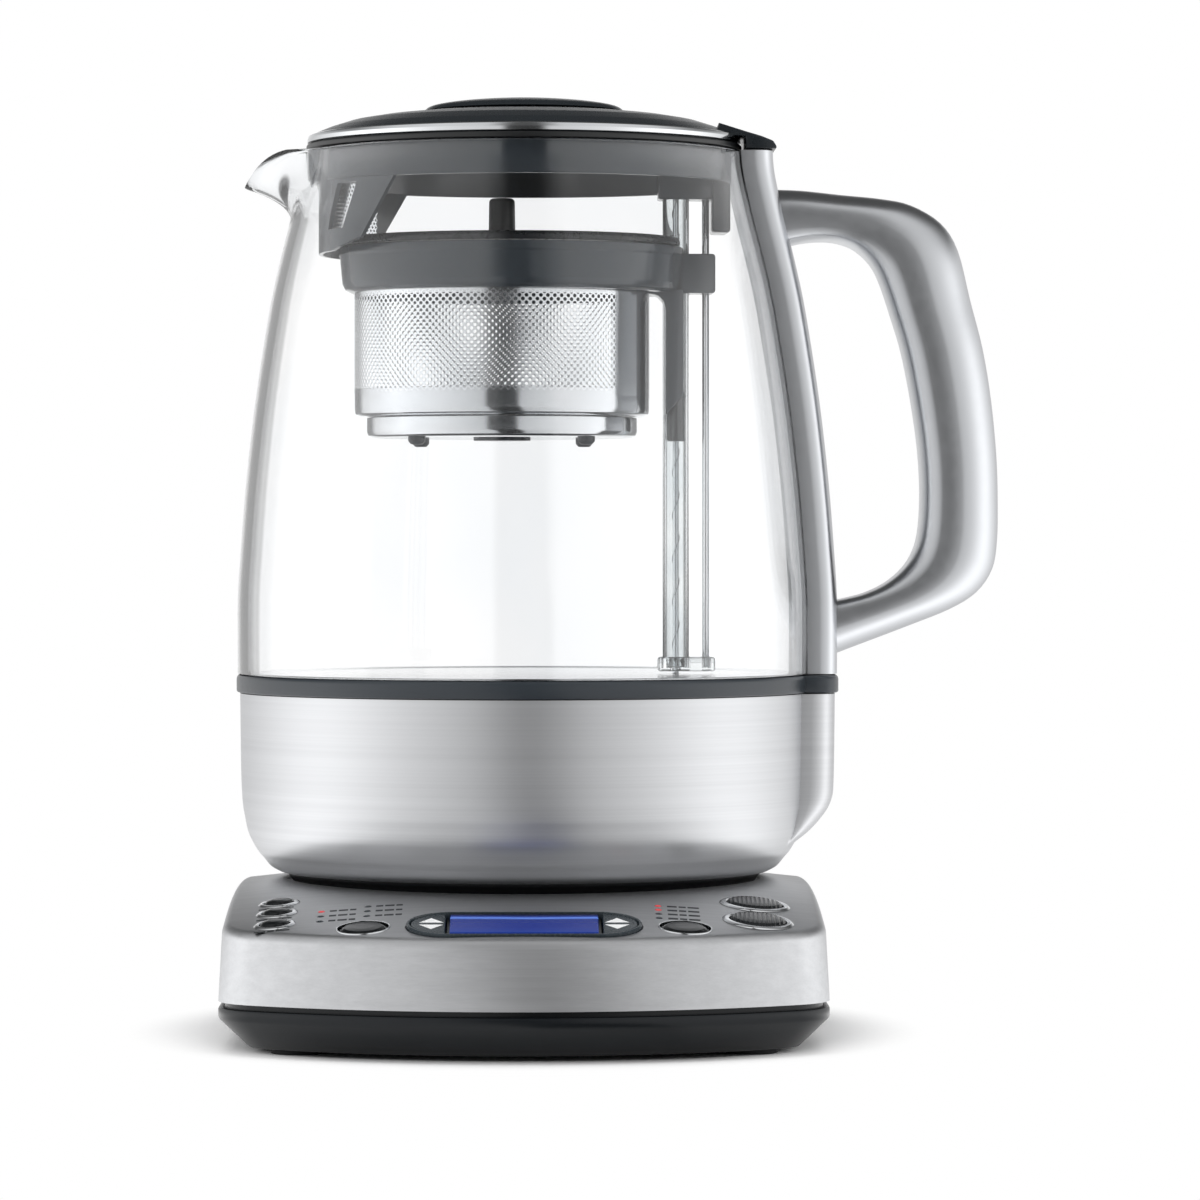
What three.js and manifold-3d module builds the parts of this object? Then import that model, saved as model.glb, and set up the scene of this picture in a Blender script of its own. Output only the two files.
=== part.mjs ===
// Automatic tea maker: a glass jug with a lifting basket on a cordless power base.
// Millimetres, +Z up. Every piece is modelled around the jug axis, with X towards the handle
// and -Y towards the control panel. The last lines move the model over the middle of its own box.
import * as THREE from "three";
import { mergeVertices } from "three/addons/utils/BufferGeometryUtils.js";
import Module from "manifold-3d";

const wasm = await Module();
wasm.setup();

// Fits between pieces
const fitGap = 0.3;
const slideGap = 0.4;
const cutOverrun = 1;
const weldTolerance = 0.0001;

// Facets around round pieces
const bodySides = 36;
const largeSides = 28;
const mediumSides = 16;
const smallSides = 12;
const tinySides = 8;
const leastSides = 6;
const outlineFrontSteps = 8;
const outlineBackSteps = 6;
const outlineSideSteps = 4;
const outlineCornerSteps = 4;

// Power base outline and crown
const baseSideMargin = 14.9;
const baseFrontReach = 121;
const baseBackReach = 89;
const baseFrontRadius = 130;
const baseBackRadius = 110;
const baseFrontCorner = 20;
const baseBackCorner = 35;
const baseCrownHeight = 45;
const crownDepthRadius = 562;
const crownWidthRadius = 700;
const innerShoulder = 1;
const wallDraft = 1;
const shellWall = 1.5;
const seatDepth = 5;
const seatMargin = 1.8;
const outerCrownShares = [0.86, 0.72, 0.54];
const innerCrownShares = [0.75, 0.5];

// Bottom tray, feet and screws
const footProud = 1.5;
const footRadius = 7;
const footRecess = 1;
const footSideInset = 21;
const footFrontInset = 35;
const footBackInset = 39;
const trayHeight = 10.75;
const trayChamfer = 8;
const trayFloor = 2.2;
const trayWall = 2.5;
const trayLip = 3.5;
const shadowGap = 1.5;
const screwSideInset = 11.5;
const screwFrontInset = 76;
const screwBackInset = 66;
const screwHeadRadius = 2.8;
const screwHeadHeight = 2;
const screwShankRadius = 1.3;
const screwShankLength = 14;
const screwPostRadius = 3.6;
const screwBossRadius = 4.8;
const screwBossHeight = 6;

// Cord inlet
const glandHeight = 23;
const glandBore = 3.6;
const glandBarrel = 5;
const glandFlange = 7;
const glandFlangeDepth = 2;
const glandLength = 11;

// Cordless connector
const connectorRadius = 18;
const connectorFlangeRadius = 22;
const connectorFlangeHeight = 2.5;
const connectorRise = 3.5;
const connectorBevel = 1;
const pinRadius = 2;
const pinWellRadius = 4.6;
const pinRise = 2;
const contactRingInner = 9.4;
const contactRingOuter = 11.2;
const grooveDepth = 4;

// Display unit and arrow keys
const displayInset = 17.2;
const displayLength = 62;
const displayDepth = 24;
const displayBody = 6;
const displayProud = 0.4;
const displayBorder = 0.9;
const lensLength = 39;
const lensDepth = 19.5;
const lensThickness = 1.4;
const rockerThickness = 3;
const rockerDrop = 0.2;
const rockerPocket = 3.9;
const rockerRidgeWidth = 1;
const rockerRidgeRoot = 1;

// Push buttons, measured from the base's sides and from its front edge at their own place
const buttonTravel = 1.2;
const buttonFlangeHeight = 1.2;
const buttonFlangeLip = 0.6;
const buttonCrown = 0.6;
const capFlatShare = 0.7;
const capEdgeShare = 0.8;
const bezelRise = 0.8;
const bezelBarrel = 3.2;
const smallCapRadius = 3.9;
const smallBezelWall = 0.7;
const smallBezelLip = 0.7;
const smallSideInset = 15.4;
const smallFrontInset = 11.5;
const smallPitch = 13.75;
const middleCapRadius = 5.8;
const middleGap = 1.1;
const middleSpacing = 11.3;
const middleFrontInset = 11.4;
const largeCapRadius = 7.4;
const largeBezelWall = 0.8;
const largeBezelLip = 1.1;
const largeSideInset = 19.4;
const largeFrontInset = 15.75;
const largePitch = 21;

// Indicator lights, in rows behind the two keys beside the display
const lightRadius = 0.9;
const lightPlate = 1.5;
const lightMargin = 1.6;
const leftLightKeySpacing = 10.525;
const leftLightRowShare = 0.1064;
const leftLightColumnPitch = 12.3;
const leftLightColumnShift = 2.6;
const leftLightSideInset = 27.4;
const leftLightColumns = 2;
const leftLightRows = 3;
const rightLightRows = 4;
const rightLightKeySpacing = 9.125;
const rightLightRowShare = 0.0881;
const rightLightSideInset = 45.7;

// Control board
const boardDepth = 12;
const boardThickness = 1.6;
const boardInset = 9;
const boardFrontReach = 30;
const boardBackReach = 46;
const boardPostRadius = 2.4;
const boardPostFrontInset = 23.5;
const switchRadius = 2;

// Jug lower body
const jugFootRadius = 64.7;
const jugFootFlare = 2.3;
const jugFootHeight = 3.7;
const jugFootPlate = 2.4;
const jugFootRim = 3;
const jugFootWall = 3;
const skirtRadius = 79.6;
const skirtHeight = 49.7;
const skirtWall = 1;
const skirtFootGap = 0.5;
const lobeHalfWidth = 20.5;
const lobeReach = 7.3;
const lobeStartShare = 0.16;
const lobeEndShare = 0.46;
const skirtProfileShares = [
  [0, 0.8606], [0.028, 0.892], [0.0744, 0.917], [0.1247, 0.942], [0.2153, 0.971], [0.31, 0.984],
  [0.3661, 0.99], [0.46, 0.9945], [0.6278, 0.9975], [1, 1],
];
const sealProud = 1;
const sealHeight = 4.9;
const sealRound = 0.9;
const sealLedge = 2;
const sealSpigot = 1.8;
const sealWall = 2.2;
const socketWall = 2.2;
const socketHeight = 9;
const socketFlange = 4;
const socketPlate = 1.6;

// Jug glass
const glassRadius = 80.3;
const glassHeight = 145.6;
const glassWall = 2.8;
const glassProfileShares = [
  [0, 1], [0.14, 1], [0.2335, 0.99], [0.3324, 0.9763], [0.4293, 0.9589], [0.5254, 0.9377],
  [0.6216, 0.9116], [0.7184, 0.8817], [0.7953, 0.8506], [0.862, 0.8205], [0.93, 0.7925],
  [0.97, 0.7795], [1, 0.7758],
];
const spoutReach = 15.8;
const spoutDrop = 10;
const spoutDropPower = 3.2;
const spoutStartShare = 0.862;
const spoutHalfAngle = THREE.MathUtils.degToRad(24);

// Heater, motor and lift tower
const plateThickness = 2.2;
const plateMargin = 0.9;
const elementRadius = 60;
const elementHalfWidth = 4;
const elementHeight = 5;
const towerX = 42.6;
const tubeRadius = 3.7;
const tubeWall = 0.8;
const towerTopDrop = 12.8;
const rodSpacing = 8.4;
const rodRadius = 1;
const rodTopDrop = 1;
const towerFootHeight = 4;
const towerFootWall = 1.2;
const towerFootFloor = 1;
const screwRadius = 1.1;
const screwTail = 8;
const motorRadius = 9;
const motorHeight = 18;
const motorNeckRadius = 4;
const motorNeckHeight = 3;
const followerRadius = 2.5;
const followerHeight = 13.8;
const followerDrop = 7.1;

// Basket, hung at the top of the tower
const collarOffset = 3.6;
const basketOffset = 6.2;
const basketRimHeight = 118.5;
const collarRadius = 48.3;
const collarHeight = 12.6;
const collarTaper = 3.2;
const collarLean = 0.8;
const basketRadius = 41.4;
const basketHeight = 44.5;
const basketWall = 0.6;
const basketLip = 1.5;
const basketLipDrop = 2.6;
const basketLipThickness = 0.8;
const basketFloorWidth = 8;
const basketShoulder = 1.6;
const panRadius = 38;
const panHeight = 5.5;
const panWall = 0.8;
const panRound = 1.6;
const panFootRadius = 2.4;
const panFootHeight = 2.2;
const panFootInset = 5;
const panFootCount = 4;
const panHubRadius = 8;
const panHubHeight = 0.8;
const clipReach = 57;
const clipHalfWidth = 7;
const clipHeight = 11;
const legHeight = 34;
const legSlant = 5.4;
const legStart = 39;
const legReach = 48.1;
const basketLidThickness = 2.5;
const basketLidSpigot = 2;
const basketLidSpigotWall = 2;
const basketLidNotchGap = 1.1;
const basketLidNotchAngle = THREE.MathUtils.degToRad(60);
const lidKnobRadius = 3.75;
const lidKnobHeight = 11;
const lidKnobTopShare = 0.75;

// Jug lid
const lidSeatRadius = 58.2;
const lidEdgeRadius = 60.4;
const lidSkirtHeight = 12.7;
const lidSkirtWall = 2;
const lidFlangeWidth = 5;
const lidFlangeThickness = 2;
const gasketHeight = 1.8;
const gasketReach = 2.5;
const trimHeight = 1.1;
const trimReach = 1.8;
const trimTopShare = 0.8;
const lidEdgeHeight = 0.6;
const lidCrownRise = 6.8;
const lidWall = 1.8;
const lidProfileShares = [[0.965, 0.13], [0.91, 0.33], [0.81, 0.62], [0.576, 0.91], [0.45, 1]];
const tongueReach = 70.5;
const tongueHalfWidth = 17;
const tongueTip = 2.3;
const tongueLength = 16.5;
const tongueRise = 4;
const tongueMiddleRise = 1.6;
const knobRadius = 28.1;
const knobHeight = 3.9;
const knobProfileShares = [[1, 0], [0.93, 0.4], [0.72, 0.67], [0.35, 0.91]];
const knobSpigotRadius = 6;
const knobSpigotLength = 4;
const filterTopAngle = THREE.MathUtils.degToRad(54);
const filterBottomAngle = THREE.MathUtils.degToRad(40);
const filterDrop = 19.5;
const filterCornerLift = 3.2;
const filterCornerStart = 0.6;
const windowAngle = THREE.MathUtils.degToRad(4.8);
const windowTopSpacing = THREE.MathUtils.degToRad(33.5);
const windowBottomSpacing = THREE.MathUtils.degToRad(26);
const windowTop = 1.1;
const windowBottom = 6;
const windowMargin = 1;
const filterMeshThickness = 0.6;
const filterMeshOverlap = THREE.MathUtils.degToRad(2.2);
const filterSetIn = 0.6;
const filterBackSet = 0.2;
const socketHalfWidth = 6;
const socketSideWall = 1.2;
const socketRise = 5;
const socketGrip = 4;
const rearBlockHalfWidth = 8;
const rearBlockDrop = 13.4;
const rearBlockReach = 57.6;

// Handle and the strip that carries it
const spineThickness = 6.9;
const spineHalfWidth = 17;
const spineRound = 2.4;
const handleReach = 133.1;
const handleRootShare = 0.85;
const handleTop = 135.6;
const handleHalfDepth = 12.5;
const handleInnerSquareness = 4.5;
const handleOuterSquareness = 2;
const handleStationShares = [
  [[0.0006, 1], [0.0006, 0.8709]],
  [[0.1398, 0.9978], [0.1398, 0.8886]],
  [[0.3146, 0.9889], [0.2559, 0.8923]],
  [[0.4879, 0.9808], [0.3456, 0.8827]],
  [[0.6194, 0.9676], [0.4075, 0.8636]],
  [[0.7494, 0.9307], [0.4554, 0.837]],
  [[0.8252, 0.8739], [0.491, 0.8001]],
  [[0.8793, 0.7714], [0.5343, 0.7382]],
  [[0.9335, 0.6711], [0.5807, 0.6645]],
  [[0.9706, 0.5642], [0.6225, 0.5642]],
  [[0.9938, 0.4499], [0.6535, 0.458]],
  [[1, 0.3569], [0.6627, 0.3658]],
  [[0.9969, 0.2729], [0.6519, 0.2883]],
  [[0.9752, 0.2139], [0.621, 0.2426]],
  [[0.9056, 0.1659], [0.5684, 0.2087]],
  [[0.7896, 0.1313], [0.4957, 0.1822]],
  [[0.6117, 0.0973], [0.4137, 0.1645]],
  [[0.4415, 0.0664], [0.3425, 0.1556]],
  [[0.3023, 0.0413], [0.2791, 0.1497]],
  [[0.1785, 0.0184], [0.1785, 0.1423]],
];

// Heights worked out from the sizes above
const trayBottomZ = footProud;
const trayTopZ = trayBottomZ + trayHeight;
const shellBottomZ = trayTopZ + shadowGap;
const lipTopZ = shellBottomZ + trayLip;
const screwBossTopZ = trayBottomZ + screwBossHeight;
const seatZ = baseCrownHeight - seatDepth;
const seatRadius = jugFootRadius + seatMargin;
const baseHalfWidth = seatRadius + baseSideMargin;
const shoulderRadius = shellWall + innerShoulder;
const panelDepth = baseFrontReach - seatRadius;
const jugBottomZ = seatZ + fitGap;
const jugFootTopZ = jugBottomZ + jugFootHeight;
const skirtBottomZ = jugFootTopZ - fitGap;
const skirtTopZ = skirtBottomZ + skirtHeight;
const sealBottomZ = skirtTopZ + fitGap;
const sealTopZ = sealBottomZ + sealHeight;
const glassBottomZ = sealTopZ + fitGap;
const rimZ = glassBottomZ + glassHeight;
const plateRadius = glassRadius - glassWall - plateMargin;
const plateBottomZ = sealTopZ - sealLedge + fitGap;
const plateTopZ = plateBottomZ + plateThickness;
const towerFootZ = plateTopZ + fitGap;
const towerFootTopZ = towerFootZ + towerFootHeight;
const tubeBottomZ = towerFootZ + towerFootFloor + fitGap;
const rodX = towerX + rodSpacing;
const basketX = -basketOffset;
const collarX = -collarOffset;
const collarTopZ = plateTopZ + basketRimHeight;
const collarBottomZ = collarTopZ - collarHeight;
const basketTopZ = collarTopZ - basketLipDrop;
const basketBottomZ = basketTopZ - basketHeight;
const basketLidTopZ = collarTopZ + fitGap + basketLidThickness;
const gasketBottomZ = rimZ + fitGap;
const gasketTopZ = gasketBottomZ + gasketHeight;
const trimBottomZ = gasketTopZ + fitGap;
const trimTopZ = trimBottomZ + trimHeight;
const lidBottomZ = trimTopZ + fitGap;
const lidEdgeZ = lidBottomZ + lidEdgeHeight;
const lidTopZ = lidEdgeZ + lidCrownRise;
const lidSkirtTopZ = trimTopZ;
const lidSkirtBottomZ = lidSkirtTopZ - lidSkirtHeight;
const tubeTopZ = lidSkirtTopZ - towerTopDrop;
const rodTopZ = tubeTopZ - rodTopDrop;

// Colours and finishes
const finishes = {
  brushedSteel: { color: 0xc2c4c6, roughness: 0.32, metalness: 1 },
  polishedSteel: { color: 0xd6d8da, roughness: 0.14, metalness: 1 },
  chrome: { color: 0xe2e4e6, roughness: 0.06, metalness: 1 },
  castHandle: { color: 0xb9bbbd, roughness: 0.4, metalness: 1 },
  brass: { color: 0xc9a45a, roughness: 0.3, metalness: 1 },
  glass: { color: 0xf2f6f7, roughness: 0.02, metalness: 0, transparent: true, opacity: 0.28 },
  clearPlastic: { color: 0xeef2f4, roughness: 0.08, metalness: 0, transparent: true, opacity: 0.35 },
  trayPlastic: { color: 0x23282c, roughness: 0.45, metalness: 0 },
  keyPlastic: { color: 0x3a4247, roughness: 0.35, metalness: 0 },
  basketPlastic: { color: 0x5b646c, roughness: 0.4, metalness: 0 },
  lidPlastic: { color: 0x2e353b, roughness: 0.35, metalness: 0 },
  blackPlastic: { color: 0x121416, roughness: 0.5, metalness: 0 },
  sealPlastic: { color: 0x3f464d, roughness: 0.5, metalness: 0 },
  rubber: { color: 0x1a1b1d, roughness: 0.85, metalness: 0 },
  boardGreen: { color: 0x2f5d3a, roughness: 0.6, metalness: 0 },
  displayBlue: { color: 0x2b3f9b, roughness: 0.15, metalness: 0 },
  magnet: { color: 0x4a4e52, roughness: 0.5, metalness: 0.6 },
};

const model = new THREE.Group();

// Adds one finished piece to the model.
function addPiece(name, geometry, finish, parent = model) {
  const bare = weld(geometry);
  bare.computeVertexNormals();
  const mesh = new THREE.Mesh(bare, new THREE.MeshStandardMaterial(finishes[finish]));
  mesh.name = name;
  parent.add(mesh);
  return mesh;
}

// Merges shared corners and drops the flat triangles left at poles and seams.
function weld(geometry) {
  const bare = geometry.clone();
  bare.deleteAttribute("normal");
  bare.deleteAttribute("uv");
  const merged = mergeVertices(bare, weldTolerance);
  const source = merged.index.array;
  const kept = [];
  for (let i = 0; i < source.length; i += 3) {
    const [a, b, c] = [source[i], source[i + 1], source[i + 2]];
    if (a !== b && b !== c && c !== a) {
      kept.push(a, b, c);
    }
  }
  merged.setIndex(kept);
  return merged;
}

function toSolid(geometry) {
  const bare = weld(geometry);
  const vertProperties = Float32Array.from(bare.attributes.position.array);
  const triVerts = Uint32Array.from(bare.index.array);
  return new wasm.Manifold(new wasm.Mesh({ numProp: 3, vertProperties, triVerts }));
}

function toGeometry(solid) {
  const mesh = solid.getMesh();
  const geometry = new THREE.BufferGeometry();
  geometry.setAttribute("position", new THREE.BufferAttribute(Float32Array.from(mesh.vertProperties), 3));
  geometry.setIndex(new THREE.BufferAttribute(Uint32Array.from(mesh.triVerts), 1));
  return geometry;
}

function join(first, ...others) {
  return toGeometry(others.reduce((solid, other) => solid.add(toSolid(other)), toSolid(first)));
}

function cut(body, ...cutters) {
  return toGeometry(cutters.reduce((solid, cutter) => solid.subtract(toSolid(cutter)), toSolid(body)));
}

function common(first, ...others) {
  return toGeometry(others.reduce((solid, other) => solid.intersect(toSolid(other)), toSolid(first)));
}

// A turned piece about the Z axis, or about a line beside it. The profile lists [radius, height].
function turned(profile, sides, x = 0, y = 0) {
  const points = profile.map(([radius, z]) => new THREE.Vector2(radius, z));
  return new THREE.LatheGeometry(points, sides).rotateX(Math.PI / 2).translate(x, y, 0);
}

// A turned ring, whose profile closes on itself.
function turnedRing(profile, sides, x = 0, y = 0) {
  return turned([...profile, profile[0]], sides, x, y);
}

function disc(radius, bottom, top, sides, x = 0, y = 0) {
  return turned([[0, bottom], [radius, bottom], [radius, top], [0, top]], sides, x, y);
}

function tube(inner, outer, bottom, top, sides, x = 0, y = 0) {
  return turnedRing([[inner, bottom], [outer, bottom], [outer, top], [inner, top]], sides, x, y);
}

function block(low, high) {
  const size = high.map((value, axis) => value - low[axis]);
  const middle = high.map((value, axis) => (value + low[axis]) / 2);
  return new THREE.BoxGeometry(...size).translate(...middle);
}

// Skins a stack of rings that all have the same number of points, listed anticlockwise from above.
// A tunnel joins the last ring to the first, and any other loft closes each end with a fan.
function loft(rings, tunnel = false) {
  const count = rings[0].length;
  const positions = rings.flat(2);
  const index = [];
  const last = tunnel ? rings.length : rings.length - 1;
  for (let i = 0; i < last; i += 1) {
    const low = i * count;
    const high = ((i + 1) % rings.length) * count;
    for (let j = 0; j < count; j += 1) {
      const next = (j + 1) % count;
      index.push(low + j, low + next, high + next, low + j, high + next, high + j);
    }
  }
  if (!tunnel) {
    addFan(positions, index, rings[0], 0, true);
    addFan(positions, index, rings[rings.length - 1], (rings.length - 1) * count, false);
  }
  const geometry = new THREE.BufferGeometry();
  geometry.setAttribute("position", new THREE.Float32BufferAttribute(positions, 3));
  geometry.setIndex(index);
  return geometry;
}

function addFan(positions, index, ring, start, down) {
  const middle = [0, 1, 2].map((axis) => ring.reduce((sum, point) => sum + point[axis], 0) / ring.length);
  const hub = positions.length / 3;
  positions.push(...middle);
  for (let j = 0; j < ring.length; j += 1) {
    const next = (j + 1) % ring.length;
    const pair = down ? [start + next, start + j] : [start + j, start + next];
    index.push(hub, ...pair);
  }
}

// A wall bent round the Z axis. Its low and high edge each have a height, a middle and a half angle,
// and the low edge may rise by the lift towards both ends.
function bentPlate(inner, outer, low, high, steps, lift = 0) {
  const rings = Array.from({ length: steps + 1 }, (_, i) => {
    const along = (2 * i) / steps - 1;
    const lowAngle = low.middle + low.half * along;
    const highAngle = high.middle + high.half * along;
    const beyond = Math.max(0, Math.abs(along) - filterCornerStart) / (1 - filterCornerStart);
    const lowZ = low.z + lift * beyond;
    const corner = (radius, angle, z) => [radius * Math.cos(angle), radius * Math.sin(angle), z];
    return [
      corner(inner, lowAngle, lowZ),
      corner(inner, highAngle, high.z),
      corner(outer, highAngle, high.z),
      corner(outer, lowAngle, lowZ),
    ];
  });
  return loft(rings);
}

// Power base

// One arc of the base outline, from one angle to another about a centre.
function arcPoints(centreX, centreY, radius, from, to, steps) {
  return Array.from({ length: steps }, (_, i) => {
    const angle = from + ((to - from) * i) / steps;
    return [centreX + radius * Math.cos(angle), centreY + radius * Math.sin(angle)];
  });
}

// The points of a straight side after its first, which the corner before it ends on.
function sidePoints(x, from, to) {
  const steps = outlineSideSteps;
  return Array.from({ length: steps }, (_, i) => [x, from + ((to - from) * i) / steps]);
}

// The base seen from above: bowed front and back, straight sides and round corners.
function baseOutline(inset) {
  const frontCentreY = baseFrontRadius - baseFrontReach;
  const backCentreY = baseBackReach - baseBackRadius;
  const frontCornerX = baseHalfWidth - baseFrontCorner;
  const backCornerX = baseHalfWidth - baseBackCorner;
  const frontTurn = Math.asin(frontCornerX / (baseFrontRadius - baseFrontCorner));
  const backTurn = Math.asin(backCornerX / (baseBackRadius - baseBackCorner));
  const frontCornerY = frontCentreY - (baseFrontRadius - baseFrontCorner) * Math.cos(frontTurn);
  const backCornerY = backCentreY + (baseBackRadius - baseBackCorner) * Math.cos(backTurn);
  const down = -Math.PI / 2;
  const up = Math.PI / 2;
  const around = 2 * Math.PI;
  const front = baseFrontRadius - inset;
  const back = baseBackRadius - inset;
  const frontCorner = baseFrontCorner - inset;
  const backCorner = baseBackCorner - inset;
  const steps = outlineCornerSteps;
  return [
    ...arcPoints(0, frontCentreY, front, down - frontTurn, down + frontTurn, outlineFrontSteps),
    ...arcPoints(frontCornerX, frontCornerY, frontCorner, down + frontTurn, 0, steps),
    ...sidePoints(baseHalfWidth - inset, frontCornerY, backCornerY),
    ...arcPoints(backCornerX, backCornerY, backCorner, 0, up - backTurn, steps),
    ...arcPoints(0, backCentreY, back, up - backTurn, up + backTurn, outlineBackSteps),
    ...arcPoints(-backCornerX, backCornerY, backCorner, up + backTurn, Math.PI, steps),
    ...sidePoints(inset - baseHalfWidth, backCornerY, frontCornerY),
    ...arcPoints(-frontCornerX, frontCornerY, frontCorner, Math.PI, around + down - frontTurn, steps),
  ];
}

function outlineRing(inset, height) {
  return baseOutline(inset).map(([x, y]) => [x, y, typeof height === "function" ? height(x, y) : height]);
}

function frontEdgeY(x) {
  return baseFrontRadius - baseFrontReach - Math.sqrt(baseFrontRadius ** 2 - x ** 2);
}

function crownZ(x, y) {
  return baseCrownHeight - (y * y) / (2 * crownDepthRadius) - (x * x) / (2 * crownWidthRadius);
}

// A frame on the panel: its origin on the surface, its Z along the surface's normal.
function panelFrame(x, y) {
  const normal = new THREE.Vector3(x / crownWidthRadius, y / crownDepthRadius, 1).normalize();
  const across = new THREE.Vector3(1, 0, 0).addScaledVector(normal, -normal.x).normalize();
  const along = new THREE.Vector3().crossVectors(normal, across);
  return new THREE.Matrix4().makeBasis(across, along, normal).setPosition(x, y, crownZ(x, y));
}

// The domed block that the shell's outside or inside follows.
function crownBlock(inset, drop, bottom, shoulder, shares) {
  const rings = [outlineRing(inset, bottom)];
  const shoulderSteps = 3;
  for (let i = 0; i <= shoulderSteps; i += 1) {
    const turn = (Math.PI / 2) * (i / shoulderSteps);
    const sideways = wallDraft + shoulder * (1 - Math.cos(turn));
    const below = drop + shoulder * (1 - Math.sin(turn));
    rings.push(outlineRing(inset + sideways, (x, y) => crownZ(x, y) - below));
  }
  const edge = baseOutline(inset + wallDraft + shoulder);
  for (const share of shares) {
    rings.push(edge.map(([x, y]) => [x * share, y * share, crownZ(x * share, y * share) - drop]));
  }
  return loft(rings);
}

const screwPlaces = {
  front_left: [-(baseHalfWidth - screwSideInset), screwFrontInset - baseFrontReach],
  front_right: [baseHalfWidth - screwSideInset, screwFrontInset - baseFrontReach],
  back_left: [-(baseHalfWidth - screwSideInset), baseBackReach - screwBackInset],
  back_right: [baseHalfWidth - screwSideInset, baseBackReach - screwBackInset],
};

const footPlaces = {
  front_left: [-(baseHalfWidth - footSideInset), footFrontInset - baseFrontReach],
  front_right: [baseHalfWidth - footSideInset, footFrontInset - baseFrontReach],
  back_left: [-(baseHalfWidth - footSideInset), baseBackReach - footBackInset - footRadius],
  back_right: [baseHalfWidth - footSideInset, baseBackReach - footBackInset - footRadius],
};

// The seven push buttons, each with the sizes of its cap, hole and bezel.
const smallKey = { cap: smallCapRadius, wall: smallBezelWall, lip: smallBezelLip, sides: smallSides };
const middleKey = { cap: middleCapRadius, wall: 0, lip: 0, sides: mediumSides };
const largeKey = { cap: largeCapRadius, wall: largeBezelWall, lip: largeBezelLip, sides: mediumSides };
const smallX = smallSideInset - baseHalfWidth;
const middleX = displayLength / 2 + middleSpacing;
const largeX = baseHalfWidth - largeSideInset;
const smallY = frontEdgeY(smallX) + smallFrontInset;
const middleY = frontEdgeY(middleX) + middleFrontInset;
const largeY = frontEdgeY(largeX) + largeFrontInset;
const displayY = displayInset - baseFrontReach;
const buttons = {
  auto_start: { ...smallKey, x: smallX, y: smallY + 2 * smallPitch },
  timer: { ...smallKey, x: smallX, y: smallY + smallPitch },
  clock: { ...smallKey, x: smallX, y: smallY },
  tea_type: { ...middleKey, x: -middleX, y: middleY },
  tea_strength: { ...middleKey, x: middleX, y: middleY },
  brew: { ...largeKey, x: largeX, y: largeY + largePitch },
  hot_water: { ...largeKey, x: largeX, y: largeY },
};

// The hole in the panel: round a bezel's barrel, or with a dark gap round a bare cap.
function holeRadius(button) {
  return button.wall > 0 ? button.cap + button.wall + 2 * fitGap : button.cap + middleGap;
}

// How far the top of a cap's flange lies below the panel: under the bezel, or under the panel itself.
function flangeTop(button) {
  return button.wall > 0 ? bezelBarrel + fitGap : shellWall + fitGap;
}

function stemBottom(button) {
  return flangeTop(button) + buttonFlangeHeight;
}

function placed(geometry, frame) {
  return geometry.clone().applyMatrix4(frame);
}

function lightPlaces() {
  const leftX = leftLightSideInset - baseHalfWidth;
  const leftY = middleY + leftLightKeySpacing;
  const leftPitch = leftLightRowShare * panelDepth;
  const left = [];
  for (let column = 0; column < leftLightColumns; column += 1) {
    for (let row = 0; row < leftLightRows; row += 1) {
      const y = leftY + column * leftLightColumnShift + row * leftPitch;
      left.push([leftX + column * leftLightColumnPitch, y]);
    }
  }
  const rightX = baseHalfWidth - rightLightSideInset;
  const rightY = middleY + rightLightKeySpacing;
  const rightPitch = rightLightRowShare * panelDepth;
  const right = [];
  for (let row = 0; row < rightLightRows; row += 1) {
    right.push([rightX, rightY + row * rightPitch]);
  }
  return { left, right };
}

// A bar with round ends, centred on the origin, between two heights.
function roundBar(length, depth, bottom, top) {
  const radius = depth / 2;
  const straight = length / 2 - radius;
  const shape = new THREE.Shape();
  shape.absarc(straight, 0, radius, -Math.PI / 2, Math.PI / 2, false);
  shape.absarc(-straight, 0, radius, Math.PI / 2, (3 * Math.PI) / 2, false);
  const settings = { depth: top - bottom, bevelEnabled: false, curveSegments: tinySides };
  return new THREE.ExtrudeGeometry(shape, settings).translate(0, 0, bottom);
}

function screwPost(x, y) {
  const bottom = screwBossTopZ + fitGap;
  const top = crownZ(x, y) - shellWall / 2;
  return disc(screwPostRadius, bottom, top, tinySides, x, y);
}

// Places on the board that the panel's two short posts press on.
const boardPostY = boardPostFrontInset - baseFrontReach;
const boardPostPlaces = [
  [(smallX - middleX) / 2, boardPostY],
  [(middleX + largeX) / 2, boardPostY],
];

// Distance from the panel down its normal to the board's top.
function boardDepthUnder(x, y) {
  const board = panelFrame(0, displayY);
  const frame = panelFrame(x, y);
  const boardNormal = new THREE.Vector3().setFromMatrixColumn(board, 2);
  const boardPoint = new THREE.Vector3().setFromMatrixPosition(board);
  boardPoint.addScaledVector(boardNormal, -boardDepth);
  const normal = new THREE.Vector3().setFromMatrixColumn(frame, 2);
  const origin = new THREE.Vector3().setFromMatrixPosition(frame);
  return origin.sub(boardPoint).dot(boardNormal) / normal.dot(boardNormal);
}

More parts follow.
